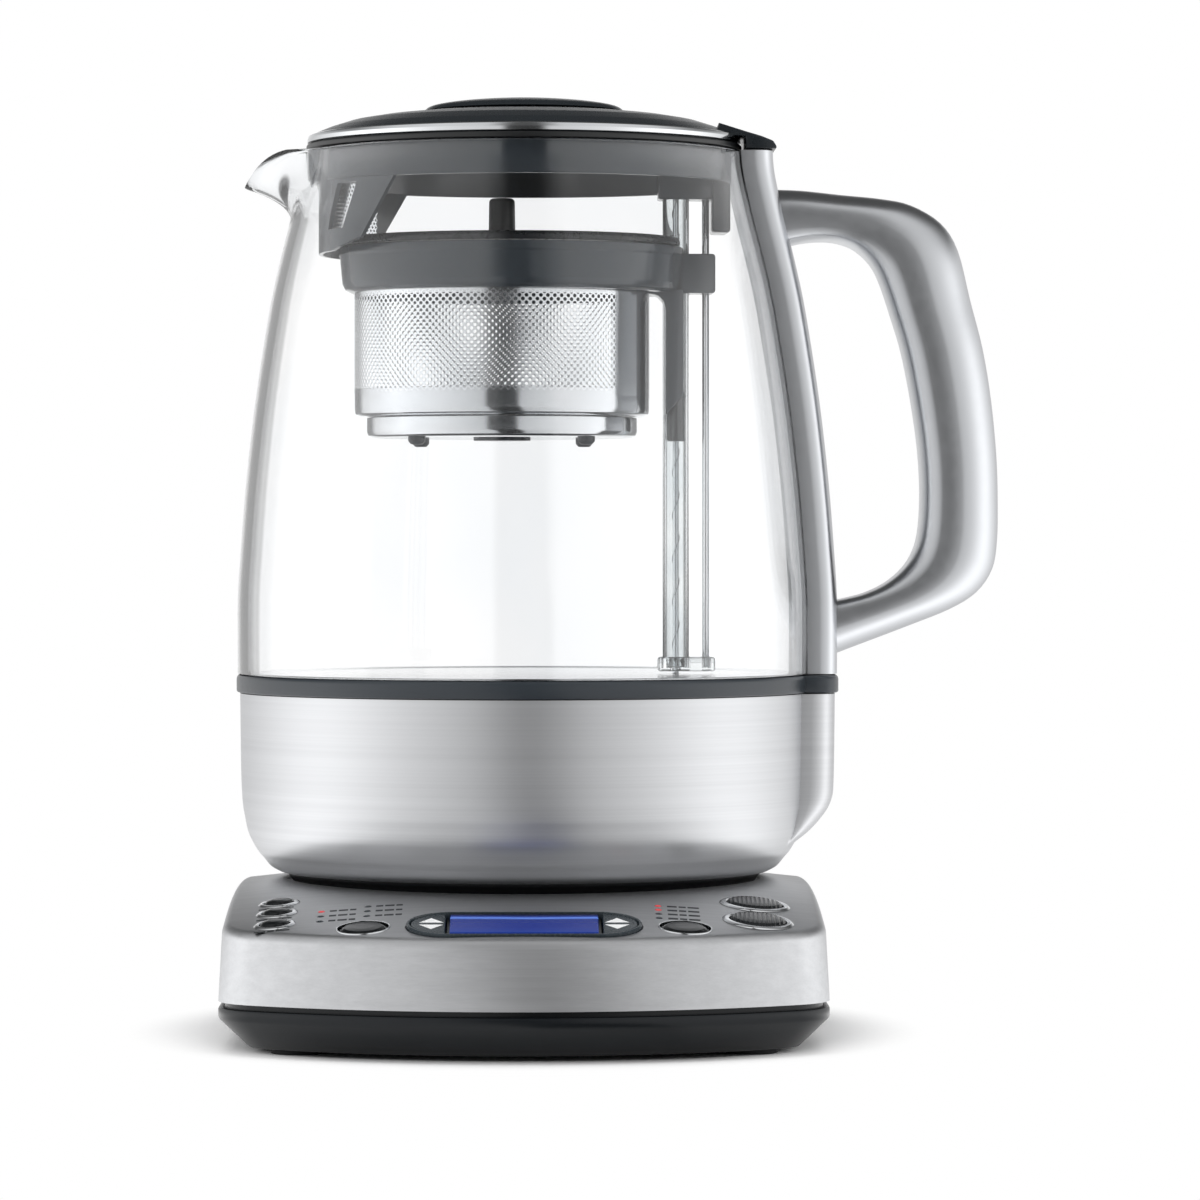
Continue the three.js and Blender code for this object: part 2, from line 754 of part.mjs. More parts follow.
function buildBaseShell() {
  const outside = toSolid(crownBlock(0, 0, shellBottomZ, shoulderRadius, outerCrownShares));
  const cup = toSolid(disc(seatRadius + shellWall, seatZ - shellWall, baseCrownHeight, bodySides));
  const insideBottomZ = shellBottomZ - cutOverrun;
  const inside = crownBlock(shellWall, shellWall, insideBottomZ, innerShoulder, innerCrownShares);
  const hollow = toSolid(inside).subtract(cup);
  let shell = outside.subtract(hollow);
  for (const [x, y] of Object.values(screwPlaces)) {
    shell = shell.add(toSolid(screwPost(x, y)));
    const boreTop = screwBossTopZ + fitGap + screwShankLength;
    const bore = disc(screwShankRadius + fitGap, screwBossTopZ - cutOverrun, boreTop, leastSides, x, y);
    shell = shell.subtract(toSolid(bore));
  }
  for (const [x, y] of boardPostPlaces) {
    const frame = panelFrame(x, y);
    const post = disc(boardPostRadius, fitGap - boardDepthUnder(x, y), -shellWall / 2, leastSides);
    shell = shell.add(toSolid(placed(post, frame)));
  }
  const seat = disc(seatRadius, seatZ, baseCrownHeight + cutOverrun, bodySides);
  const openingBottom = seatZ - shellWall - cutOverrun;
  const opening = disc(connectorRadius + fitGap, openingBottom, seatZ + cutOverrun, mediumSides);
  shell = shell.subtract(toSolid(seat)).subtract(toSolid(opening));
  const cutDepth = shellWall + cutOverrun;
  for (const button of Object.values(buttons)) {
    const hole = disc(holeRadius(button), -cutDepth, cutOverrun, button.sides);
    shell = shell.subtract(toSolid(placed(hole, panelFrame(button.x, button.y))));
  }
  const windowLength = displayLength + 2 * fitGap;
  const windowDepth = displayDepth + 2 * fitGap;
  const window = roundBar(windowLength, windowDepth, -cutDepth - cutOverrun, cutOverrun);
  shell = shell.subtract(toSolid(placed(window, panelFrame(0, displayY))));
  const { left, right } = lightPlaces();
  for (const [x, y] of [...left, ...right]) {
    const hole = disc(lightRadius + fitGap, -cutDepth, cutOverrun, leastSides);
    shell = shell.subtract(toSolid(placed(hole, panelFrame(x, y))));
  }
  const inlet = disc(glandBarrel + fitGap, 0, glandLength + cutOverrun, smallSides)
    .rotateX(-Math.PI / 2)
    .translate(0, baseBackReach - glandLength, glandHeight);
  addPiece("base_shell", toGeometry(shell.subtract(toSolid(inlet))), "brushedSteel");
}

function buildBaseTray() {
  const lipInset = shellWall + 2 * fitGap;
  const floorZ = trayBottomZ + trayFloor;
  const rings = [
    outlineRing(trayChamfer, trayBottomZ),
    outlineRing(0, trayBottomZ + trayChamfer),
    outlineRing(0, trayTopZ),
    outlineRing(lipInset, trayTopZ),
    outlineRing(lipInset, lipTopZ),
    outlineRing(lipInset + trayWall, lipTopZ),
    outlineRing(lipInset + trayWall, floorZ + trayChamfer),
    outlineRing(trayChamfer + trayWall, floorZ),
  ];
  const below = trayBottomZ - cutOverrun;
  const bossStart = trayBottomZ + trayFloor / 2;
  const boreRadius = screwShankRadius + fitGap;
  let tray = toSolid(loft(rings));
  for (const [x, y] of Object.values(screwPlaces)) {
    tray = tray.add(toSolid(disc(screwBossRadius, bossStart, screwBossTopZ, tinySides, x, y)));
    const bore = disc(boreRadius, below, screwBossTopZ + cutOverrun, leastSides, x, y);
    const headTop = trayBottomZ + screwHeadHeight + 2 * fitGap;
    const well = disc(screwHeadRadius + fitGap, below, headTop, leastSides, x, y);
    tray = tray.subtract(toSolid(bore)).subtract(toSolid(well));
  }
  for (const [x, y] of Object.values(footPlaces)) {
    const recess = disc(footRadius + fitGap, below, trayBottomZ + footRecess, smallSides, x, y);
    tray = tray.subtract(toSolid(recess));
  }
  addPiece("base_tray", toGeometry(tray), "trayPlastic");
}

function buildFeetAndScrews() {
  for (const [place, [x, y]] of Object.entries(footPlaces)) {
    const top = trayBottomZ + footRecess - fitGap;
    addPiece(`foot_${place}`, disc(footRadius, 0, top, smallSides, x, y), "rubber");
  }
  for (const [place, [x, y]] of Object.entries(screwPlaces)) {
    const headBottom = trayBottomZ + fitGap;
    const headTop = headBottom + screwHeadHeight;
    const profile = [
      [0, headBottom],
      [screwHeadRadius, headBottom],
      [screwHeadRadius, headTop],
      [screwShankRadius, headTop],
      [screwShankRadius, headTop + screwShankLength],
      [0, headTop + screwShankLength],
    ];
    addPiece(`tray_screw_${place}`, turned(profile, leastSides, x, y), "polishedSteel");
  }
}

function buildCordGland() {
  const profile = [
    [glandBore, 0],
    [glandBarrel, 0],
    [glandBarrel, glandLength],
    [glandFlange, glandLength],
    [glandFlange, glandLength + glandFlangeDepth],
    [glandBore, glandLength + glandFlangeDepth],
  ];
  const inletStart = baseBackReach - glandLength + 2 * fitGap;
  const gland = turnedRing(profile, smallSides).rotateX(-Math.PI / 2).translate(0, inletStart, glandHeight);
  addPiece("cord_gland", gland, "rubber");
}

function buildPowerConnector() {
  const flangeTopZ = seatZ - shellWall - fitGap;
  const topZ = seatZ + connectorRise;
  const grooveZ = topZ - grooveDepth;
  const profile = [
    [0, flangeTopZ - connectorFlangeHeight],
    [connectorFlangeRadius, flangeTopZ - connectorFlangeHeight],
    [connectorFlangeRadius, flangeTopZ],
    [connectorRadius, flangeTopZ],
    [connectorRadius, topZ - connectorBevel],
    [connectorRadius - connectorBevel, topZ],
    [contactRingOuter + fitGap, topZ],
    [contactRingOuter + fitGap, grooveZ],
    [contactRingInner - fitGap, grooveZ],
    [contactRingInner - fitGap, topZ],
    [pinWellRadius, topZ],
    [pinWellRadius, grooveZ],
    [0, grooveZ],
  ];
  addPiece("power_connector", turned(profile, mediumSides), "blackPlastic");
  const ringTop = topZ - connectorBevel;
  const ring = tube(contactRingInner, contactRingOuter, grooveZ + fitGap, ringTop, mediumSides);
  addPiece("contact_ring", ring, "brass");
  addPiece("contact_pin", disc(pinRadius, grooveZ + fitGap, topZ + pinRise, smallSides), "brass");
}

function buildDisplay() {
  const frame = panelFrame(0, displayY);
  const unit = new THREE.Group();
  unit.applyMatrix4(frame);
  model.add(unit);
  const pocketLength = displayLength - 2 * displayBorder;
  const pocketDepth = displayDepth - 2 * displayBorder;
  const pocketStart = lensLength / 2 + displayBorder;
  const pocketTop = displayProud + cutOverrun;
  const pocket = roundBar(pocketLength, pocketDepth, displayProud - rockerPocket, pocketTop);
  const lensBed = displayProud - lensThickness - fitGap;
  const lensHole = block(
    [-lensLength / 2 - fitGap, -lensDepth / 2 - fitGap, lensBed],
    [lensLength / 2 + fitGap, lensDepth / 2 + fitGap, displayProud + cutOverrun],
  );
  let carrier = toSolid(roundBar(displayLength, displayDepth, -displayBody, displayProud));
  carrier = carrier.subtract(toSolid(lensHole));
  const rockerTop = displayProud - rockerDrop;
  const rockerBottom = rockerTop - rockerThickness;
  const keyOutline = roundBar(pocketLength - 2 * fitGap, pocketDepth - 2 * fitGap, rockerBottom, rockerTop);
  for (const side of [-1, 1]) {
    const near = side * pocketStart;
    const far = side * displayLength;
    const reach = (start) => [
      [Math.min(start, far), -displayDepth, -displayBody],
      [Math.max(start, far), displayDepth, displayBody],
    ];
    const hollow = common(pocket, block(...reach(near)));
    const end = side * (displayLength / 2 - displayBorder);
    const ridgeTop = rockerBottom - fitGap;
    const ridge = block(
      [Math.min(near, end), -rockerRidgeWidth / 2, rockerRidgeRoot - displayBody],
      [Math.max(near, end), rockerRidgeWidth / 2, ridgeTop],
    );
    carrier = carrier.subtract(toSolid(hollow)).add(toSolid(ridge));
    const key = common(keyOutline, block(...reach(near + side * fitGap)));
    addPiece(side < 0 ? "temperature_rocker" : "time_rocker", key, "keyPlastic", unit);
  }
  addPiece("display_carrier", toGeometry(carrier), "keyPlastic", unit);
  const lensTop = displayProud;
  const lens = block(
    [-lensLength / 2, -lensDepth / 2, lensTop - lensThickness],
    [lensLength / 2, lensDepth / 2, lensTop],
  );
  addPiece("display_lens", lens, "displayBlue", unit);
}

function buildButtons() {
  for (const [name, button] of Object.entries(buttons)) {
    const place = new THREE.Group();
    place.applyMatrix4(panelFrame(button.x, button.y));
    model.add(place);
    const hasBezel = button.wall > 0;
    const inner = button.cap + fitGap;
    const outer = inner + button.wall;
    const top = hasBezel ? bezelRise : 0;
    const flange = hasBezel ? outer : holeRadius(button);
    const cap = [
      [0, -stemBottom(button)],
      [flange + buttonFlangeLip, -stemBottom(button)],
      [flange + buttonFlangeLip, -flangeTop(button)],
      [button.cap, -flangeTop(button)],
      [button.cap, top],
      [button.cap * capFlatShare, top + buttonCrown * capEdgeShare],
      [0, top + buttonCrown],
    ];
    addPiece(`${name}_button`, turned(cap, button.sides), "keyPlastic", place);
    if (hasBezel) {
      const rim = holeRadius(button) + button.lip;
      const profile = [
        [inner, -bezelBarrel],
        [outer, -bezelBarrel],
        [outer, fitGap],
        [rim, fitGap],
        [rim - button.lip / 2, bezelRise],
        [inner, bezelRise],
      ];
      addPiece(`${name}_bezel`, turnedRing(profile, button.sides), "chrome", place);
    }
  }
}

// Each guide is one clear moulding: a strip under the panel with a peg for every light.
function buildLightGuides() {
  for (const [side, places] of Object.entries(lightPlaces())) {
    const xs = places.map(([x]) => x);
    const ys = places.map(([, y]) => y);
    const centreX = (Math.min(...xs) + Math.max(...xs)) / 2;
    const centreY = (Math.min(...ys) + Math.max(...ys)) / 2;
    const frame = panelFrame(centreX, centreY);
    const stripTop = -shellWall - slideGap;
    const halfX = (Math.max(...xs) - Math.min(...xs)) / 2 + lightMargin;
    const halfY = (Math.max(...ys) - Math.min(...ys)) / 2 + lightMargin;
    const strip = block([-halfX, -halfY, stripTop - lightPlate], [halfX, halfY, stripTop]);
    let guide = toSolid(placed(strip, frame));
    for (const [x, y] of places) {
      const peg = disc(lightRadius, stripTop - lightPlate / 2, 0, leastSides);
      guide = guide.add(toSolid(placed(peg, panelFrame(x, y))));
    }
    addPiece(`${side}_light_guide`, toGeometry(guide), "clearPlastic");
  }
}

function buildControlBoard() {
  const frame = panelFrame(0, displayY);
  const sheet = block(
    [-baseHalfWidth, -boardFrontReach, -boardDepth - boardThickness],
    [baseHalfWidth, boardBackReach, -boardDepth],
  );
  const limits = loft([outlineRing(boardInset, 0), outlineRing(boardInset, baseCrownHeight)]);
  let board = toSolid(common(placed(sheet, frame), limits));
  for (const button of Object.values(buttons)) {
    const top = -stemBottom(button) - buttonTravel - fitGap;
    const bottom = -boardDepthUnder(button.x, button.y) - boardThickness / 2;
    const key = disc(switchRadius, bottom, top, leastSides);
    board = board.add(toSolid(placed(key, panelFrame(button.x, button.y))));
  }
  addPiece("control_board", toGeometry(board), "boardGreen");
}

// Jug lower body

// A circle with a rounded lobe at +X. The inset moves it inwards all round, lobe and all.
function lobedRing(radius, inset, lobe, z) {
  const round = radius - inset;
  const halfWidth = lobeHalfWidth - inset;
  const halfAngle = Math.asin(halfWidth / round);
  const lobeSteps = tinySides;
  const ring = [];
  for (let i = 0; i < bodySides; i += 1) {
    const angle = halfAngle + (i / bodySides) * (2 * Math.PI - 2 * halfAngle);
    ring.push([round * Math.cos(angle), round * Math.sin(angle), z]);
  }
  const startX = round * Math.cos(halfAngle);
  for (let i = 0; i < lobeSteps; i += 1) {
    const turn = -Math.PI / 2 + (Math.PI * i) / lobeSteps;
    const angle = halfAngle * Math.sin(turn);
    const bulge = Math.sqrt(Math.abs(Math.cos(turn)));
    const side = Math.sign(Math.sin(turn)) * Math.sqrt(Math.abs(Math.sin(turn)));
    const full = [startX + (round + lobeReach - startX) * bulge, halfWidth * side];
    const plain = [round * Math.cos(angle), round * Math.sin(angle)];
    ring.push([
      THREE.MathUtils.lerp(plain[0], full[0], lobe),
      THREE.MathUtils.lerp(plain[1], full[1], lobe),
      z,
    ]);
  }
  return ring;
}

function lobeShareAt(share) {
  const rise = THREE.MathUtils.clamp((share - lobeStartShare) / (lobeEndShare - lobeStartShare), 0, 1);
  return Math.sin((Math.PI / 2) * rise);
}

function buildSteelSkirt() {
  const ringAt = ([height, radius], inset) =>
    lobedRing(skirtRadius * radius, inset, lobeShareAt(height), skirtBottomZ + skirtHeight * height);
  const outside = skirtProfileShares.map((share) => ringAt(share, 0));
  const fewer = skirtProfileShares.filter((share, i) => i % 2 === 0 || i === skirtProfileShares.length - 1);
  const inside = fewer.map((share) => ringAt(share, skirtWall)).reverse();
  addPiece("steel_skirt", loft([...outside, ...inside], true), "brushedSteel");
}

function buildSealRing() {
  const radius = skirtRadius + sealProud;
  const spigot = sealProud + skirtWall + fitGap;
  const ledgeZ = sealTopZ - sealLedge;
  const spigotZ = sealBottomZ - sealSpigot;
  const bore = glassRadius - glassWall;
  const circle = (size, z) => lobedRing(size, 0, 0, z);
  const rings = [
    lobedRing(radius, spigot, 1, spigotZ),
    lobedRing(radius, spigot, 1, sealBottomZ),
    lobedRing(radius, 0, 1, sealBottomZ),
    lobedRing(radius, 0, 1, sealTopZ - sealRound),
    lobedRing(radius, sealRound, 1, sealTopZ),
    circle(bore, sealTopZ),
    circle(bore, ledgeZ),
    circle(bore - sealWall, ledgeZ),
    circle(bore - sealWall, spigotZ),
  ];
  addPiece("seal_ring", loft(rings, true), "sealPlastic");
}

function buildJugFoot() {
  const bore = connectorRadius + fitGap + socketWall + fitGap;
  const plateTop = jugBottomZ + jugFootPlate;
  const topRadius = skirtRadius * skirtProfileShares[0][1] - skirtWall - skirtFootGap;
  const rimTop = jugFootTopZ + jugFootRim;
  const profile = [
    [bore, jugBottomZ],
    [jugFootRadius - jugFootFlare, jugBottomZ],
    [jugFootRadius, jugBottomZ + fitGap],
    [topRadius, jugFootTopZ],
    [topRadius, rimTop],
    [topRadius - jugFootWall, rimTop],
    [topRadius - jugFootWall, plateTop],
    [bore, plateTop],
  ];
  addPiece("jug_foot", turnedRing(profile, largeSides), "blackPlastic");
}

// The jug's socket is a cup turned over the base connector, with a flange that rests on the foot plate.
function buildJugSocket() {
  const inner = connectorRadius + fitGap;
  const outer = inner + socketWall;
  const flangeZ = jugBottomZ + jugFootPlate + fitGap;
  const ceilingZ = jugBottomZ + socketHeight - socketPlate;
  const profile = [
    [inner, jugBottomZ],
    [outer, jugBottomZ],
    [outer, flangeZ],
    [outer + socketFlange, flangeZ],
    [outer + socketFlange, flangeZ + socketPlate],
    [outer, flangeZ + socketPlate],
    [outer, jugBottomZ + socketHeight],
    [0, jugBottomZ + socketHeight],
    [0, ceilingZ],
    [inner, ceilingZ],
    [inner, jugBottomZ],
  ];
  addPiece("jug_socket", turned(profile, mediumSides), "blackPlastic");
}

function buildHeater() {
  const shaftTop = plateTopZ + cutOverrun;
  const shaft = disc(screwRadius + slideGap, plateBottomZ - cutOverrun, shaftTop, tinySides, towerX);
  const plate = disc(plateRadius, plateBottomZ, plateTopZ, largeSides);
  addPiece("heater_plate", cut(plate, shaft), "polishedSteel");
  const top = plateBottomZ - fitGap;
  const profile = [
    [elementRadius - elementHalfWidth, top - elementHeight / 2],
    [elementRadius - elementHalfWidth / 2, top - elementHeight],
    [elementRadius + elementHalfWidth / 2, top - elementHeight],
    [elementRadius + elementHalfWidth, top - elementHeight / 2],
    [elementRadius + elementHalfWidth, top],
    [elementRadius - elementHalfWidth, top],
  ];
  addPiece("heating_element", turnedRing(profile, mediumSides), "castHandle");
}

// The motor hangs under the jug floor and turns the screw inside the clear tube.
function buildLift() {
  const neckTop = plateBottomZ - fitGap;
  const bodyTop = neckTop - motorNeckHeight;
  const screwBottomZ = neckTop - screwTail;
  const motorProfile = [
    [0, bodyTop - motorHeight],
    [motorRadius, bodyTop - motorHeight],
    [motorRadius, bodyTop],
    [motorNeckRadius, bodyTop],
    [motorNeckRadius, neckTop],
    [screwRadius + fitGap, neckTop],
    [screwRadius + fitGap, screwBottomZ - fitGap],
    [0, screwBottomZ - fitGap],
  ];
  addPiece("lift_motor", turned(motorProfile, smallSides, towerX), "magnet");
  const screwTopZ = tubeTopZ - fitGap;
  addPiece("lift_screw", disc(screwRadius, screwBottomZ, screwTopZ, tinySides, towerX), "polishedSteel");
  const bore = screwRadius + fitGap;
  const followerTopZ = basketBottomZ + followerDrop;
  const followerBottomZ = followerTopZ - followerHeight;
  const follower = tube(bore, followerRadius, followerBottomZ, followerTopZ, smallSides, towerX);
  addPiece("magnet_follower", follower, "magnet");
  const liftTube = tube(tubeRadius - tubeWall, tubeRadius, tubeBottomZ, tubeTopZ, mediumSides, towerX);
  addPiece("lift_tube", liftTube, "clearPlastic");
  const rodBottomZ = towerFootZ + towerFootFloor + fitGap;
  const rod = disc(rodRadius, rodBottomZ, rodTopZ, tinySides, rodX);
  addPiece("guide_rod", rod, "polishedSteel");
  const rim = towerFootWall + fitGap;
  const footBlock = block(
    [towerX - tubeRadius - rim, -tubeRadius - rim, towerFootZ],
    [rodX + rodRadius + rim, tubeRadius + rim, towerFootTopZ],
  );
  const foot = cut(
    footBlock,
    disc(tubeRadius + fitGap, tubeBottomZ - fitGap, towerFootTopZ + cutOverrun, mediumSides, towerX),
    disc(screwRadius + slideGap, towerFootZ - cutOverrun, towerFootTopZ, tinySides, towerX),
    disc(rodRadius + fitGap, rodBottomZ - fitGap, towerFootTopZ + cutOverrun, tinySides, rodX),
  );
  addPiece("tower_foot", foot, "basketPlastic");
}

// Jug glass, spine and handle

const rimShare = glassProfileShares[glassProfileShares.length - 1][1];

// Directions round the glass, closer together over the spout at -X.
function glassAngles() {
  const spoutSteps = smallSides;
  const bodySteps = bodySides - tinySides;
  const start = Math.PI - spoutHalfAngle;
  const end = Math.PI + spoutHalfAngle;
  const spout = Array.from({ length: spoutSteps }, (_, i) => start + ((end - start) * i) / spoutSteps);
  const around = 2 * Math.PI - 2 * spoutHalfAngle;
  const body = Array.from({ length: bodySteps }, (_, i) => end + (around * i) / bodySteps);
  return [...spout, ...body];
}

function spoutBulge(angle) {
  const away = Math.abs(THREE.MathUtils.euclideanModulo(angle, 2 * Math.PI) - Math.PI);
  return away < spoutHalfAngle ? Math.cos((Math.PI / 2) * (away / spoutHalfAngle)) ** 2 : 0;
}

function glassRing([height, radius], inset) {
  const above = Math.max(0, (height - spoutStartShare) / (1 - spoutStartShare));
  return glassAngles().map((angle) => {
    const bulge = spoutBulge(angle);
    const size = glassRadius * radius + spoutReach * bulge * above ** 2 - inset;
    const z = glassBottomZ + glassHeight * height - spoutDrop * bulge ** spoutDropPower * above;
    return [size * Math.cos(angle), size * Math.sin(angle), z];
  });
}

function buildGlass() {
  const outside = glassProfileShares.map((share) => glassRing(share, 0));
  const fewer = glassProfileShares.filter((share, i) => i % 2 === 0 || share[0] > spoutStartShare);
  const inside = fewer.map((share) => glassRing(share, glassWall)).reverse();
  addPiece("jug_glass", loft([...outside, ...inside], true), "glass");
}

// The rounded back of the strip at one level, set out from the glass and further by the proud length.
function spineBack(radius, z, proud) {
  const near = glassRadius * radius + fitGap;
  const sideX = Math.sqrt(near ** 2 - spineHalfWidth ** 2);
  const depth = near + spineThickness - sideX;
  const steps = tinySides;
  return Array.from({ length: steps + 1 }, (_, i) => {
    const turn = -Math.PI / 2 + (Math.PI * i) / steps;
    const bulge = Math.abs(Math.cos(turn)) ** (1 / spineRound);
    const side = Math.sign(Math.sin(turn)) * Math.abs(Math.sin(turn)) ** (1 / spineRound);
    return [sideX + proud + depth * bulge, spineHalfWidth * side, z];
  });
}

// The face that hugs the glass, without its two corners, which the back already has.
function spineFront(radius, z) {
  const near = glassRadius * radius + fitGap;
  const nearAngle = Math.asin(spineHalfWidth / near);
  const steps = tinySides;
  return Array.from({ length: steps - 1 }, (_, i) => {
    const angle = nearAngle * (1 - (2 * (i + 1)) / steps);
    return [near * Math.cos(angle), near * Math.sin(angle), z];
  });
}

function spineLevels(ring) {
  return glassProfileShares.map(([height, radius]) => ring(radius, glassBottomZ + glassHeight * height));
}

function buildSpine() {
  const rings = spineLevels((radius, z) => [...spineBack(radius, z, 0), ...spineFront(radius, z)]);
  addPiece("handle_spine", loft(rings), "castHandle");
}

// One section of the handle, between its outer and inner point, narrower towards the hand.
function handleSection([outerShares, innerShares]) {
  const root = glassRadius * rimShare + fitGap + spineThickness * handleRootShare;
  const across = (share) => THREE.MathUtils.lerp(root, handleReach, share);
  const place = ([x, z]) => new THREE.Vector3(across(x), 0, glassBottomZ + z * handleTop);
  const outer = place(outerShares);
  const inner = place(innerShares);
  const middle = outer.clone().add(inner).multiplyScalar(0.5);
  const reach = outer.clone().sub(inner).multiplyScalar(0.5);
  const sides = mediumSides;
  return Array.from({ length: sides }, (_, i) => {
    const turn = (2 * Math.PI * i) / sides;
    const power = 2 / (Math.cos(turn) < 0 ? handleInnerSquareness : handleOuterSquareness);
    const along = Math.sign(Math.cos(turn)) * Math.abs(Math.cos(turn)) ** power;
    const aside = Math.sign(Math.sin(turn)) * Math.abs(Math.sin(turn)) ** power;
    const point = middle.clone().addScaledVector(reach, along);
    return [point.x, aside * handleHalfDepth, point.z];
  });
}

function buildHandle() {
  const sections = handleStationShares.map(handleSection);
  const bow = loft(sections.reverse());
  const behind = (glassRadius * rimShare) / 2;
  const room = loft(spineLevels((radius, z) => [
    ...spineBack(radius, z, fitGap),
    [behind, spineHalfWidth, z],
    [behind, -spineHalfWidth, z],
  ]));
  addPiece("handle", cut(bow, room), "castHandle");
}

// Basket

function buildBasketCollar() {
  const bore = basketRadius + fitGap;
  const lipRadius = basketRadius + basketLip + fitGap;
  const ledgeZ = basketTopZ - basketLipThickness - fitGap;
  const profile = [
    [0, collarBottomZ],
    [collarRadius - collarTaper, collarBottomZ],
    [collarRadius - collarLean, collarBottomZ + collarTaper - collarLean],
    [collarRadius, collarTopZ],
    [0, collarTopZ],
  ];
  const bowl = turned(profile, largeSides, collarX);
  const clipEnd = collarX + clipReach;
  const clip = block(
    [collarX + legStart, -clipHalfWidth, collarBottomZ],
    [clipEnd, clipHalfWidth, collarBottomZ + clipHeight],
  );
  const legBottom = collarBottomZ - legHeight;
  const legEnd = collarX + legReach;
  const outline = new THREE.Shape([
    new THREE.Vector2(collarX + legStart, legBottom),
    new THREE.Vector2(legEnd, legBottom + legSlant),
    new THREE.Vector2(legEnd, collarBottomZ + cutOverrun),
    new THREE.Vector2(collarX + legStart, collarBottomZ + cutOverrun),
  ]);
  const leg = new THREE.ExtrudeGeometry(outline, { depth: 2 * clipHalfWidth, bevelEnabled: false })
    .rotateX(Math.PI / 2)
    .translate(0, clipHalfWidth, 0);
  const top = collarTopZ + cutOverrun;
  const bottom = legBottom - cutOverrun;
  const basketRoom = disc(bore, bottom, top, largeSides, basketX);
  const lipRoom = disc(lipRadius, ledgeZ, top, largeSides, basketX);
  const tubeHole = disc(tubeRadius + slideGap, bottom, top, mediumSides, towerX);
  const rodHole = disc(rodRadius + slideGap, bottom, top, tinySides, rodX);
  const legSlot = block(
    [towerX, -tubeRadius - slideGap, bottom],
    [clipEnd, tubeRadius + slideGap, collarBottomZ],
  );
  const collar = cut(join(bowl, clip, leg), basketRoom, lipRoom, tubeHole, rodHole, legSlot);
  addPiece("basket_collar", collar, "basketPlastic");
}

function buildBasketMesh() {
  const inner = basketRadius - basketWall;
  const profile = [
    [basketRadius - basketFloorWidth, basketBottomZ],
    [basketRadius - basketShoulder, basketBottomZ],
    [basketRadius, basketBottomZ + basketShoulder],
    [basketRadius, basketTopZ - basketLipThickness],
    [basketRadius + basketLip, basketTopZ - basketLipThickness],
    [basketRadius + basketLip, basketTopZ],
    [inner, basketTopZ],
    [inner, basketBottomZ + basketShoulder],
    [basketRadius - basketShoulder - basketWall, basketBottomZ + basketWall],
    [basketRadius - basketFloorWidth, basketBottomZ + basketWall],
  ];
  addPiece("basket_mesh", turnedRing(profile, largeSides, basketX), "polishedSteel");
}

function buildBasketPan() {
  const topZ = basketBottomZ - fitGap;
  const bottomZ = topZ - panHeight;
  const profile = [
    [0, bottomZ],
    [panRadius - panRound, bottomZ],
    [panRadius, bottomZ + panRound],
    [panRadius, topZ],
    [panRadius - panWall, topZ],
    [panRadius - panWall, bottomZ + panRound + panWall / 2],
    [panRadius - panRound - panWall / 2, bottomZ + panWall],
    [0, bottomZ + panWall],
  ];
  let pan = toSolid(turned(profile, largeSides, basketX));
  for (let i = 0; i < panFootCount; i += 1) {
    const angle = (2 * Math.PI * (i + 0.5)) / panFootCount;
    const reach = panRadius - panFootInset;
    const x = basketX + reach * Math.cos(angle);
    const y = reach * Math.sin(angle);
    const foot = disc(panFootRadius, bottomZ - panFootHeight, bottomZ + panWall / 2, tinySides, x, y);
    pan = pan.add(toSolid(foot));
  }
  const hub = disc(panHubRadius, bottomZ - panHubHeight, bottomZ + panWall / 2, smallSides, basketX);
  addPiece("basket_pan", toGeometry(pan.add(toSolid(hub))), "polishedSteel");
}

// The V that lets the basket's cover pass the lift tube: both flanks clear the tube by the same gap.
function coverNotch(bottom, top) {
  const tipX = towerX - (tubeRadius + basketLidNotchGap) / Math.sin(basketLidNotchAngle);
  const edgeX = collarX + collarRadius + cutOverrun;
  const halfWidth = (edgeX - tipX) * Math.tan(basketLidNotchAngle);
  const outline = new THREE.Shape([
    new THREE.Vector2(tipX, 0),
    new THREE.Vector2(edgeX, -halfWidth),
    new THREE.Vector2(edgeX, halfWidth),
  ]);
  const settings = { depth: top - bottom, bevelEnabled: false };
  return new THREE.ExtrudeGeometry(outline, settings).translate(0, 0, bottom);
}

function buildBasketLid() {
  const bottomZ = collarTopZ + fitGap;
  const spigotRadius = basketRadius + basketLip - fitGap;
  const profile = [
    [0, bottomZ],
    [collarRadius, bottomZ],
    [collarRadius, basketLidTopZ - basketLidThickness / 2],
    [collarRadius - basketLidThickness / 2, basketLidTopZ],
    [0, basketLidTopZ],
  ];
  const cover = turned(profile, largeSides, collarX);
  const spigotInner = spigotRadius - basketLidSpigotWall;
  const spigotTop = bottomZ + basketLidThickness / 2;
  const spigot = tube(spigotInner, spigotRadius, bottomZ - basketLidSpigot, spigotTop, largeSides, basketX);
  const notch = coverNotch(collarBottomZ, basketLidTopZ + cutOverrun);
  addPiece("basket_lid", cut(join(cover, spigot), notch), "lidPlastic");
  const knobZ = basketLidTopZ + fitGap;
  const knobTopZ = knobZ + lidKnobHeight;
  const knob = [
    [0, knobZ],
    [lidKnobRadius, knobZ],
    [lidKnobRadius, knobTopZ - lidKnobRadius * (1 - lidKnobTopShare)],
    [lidKnobRadius * lidKnobTopShare, knobTopZ],
    [0, knobTopZ],
  ];
  addPiece("basket_lid_knob", turned(knob, smallSides, basketX), "blackPlastic");
}

// Jug lid

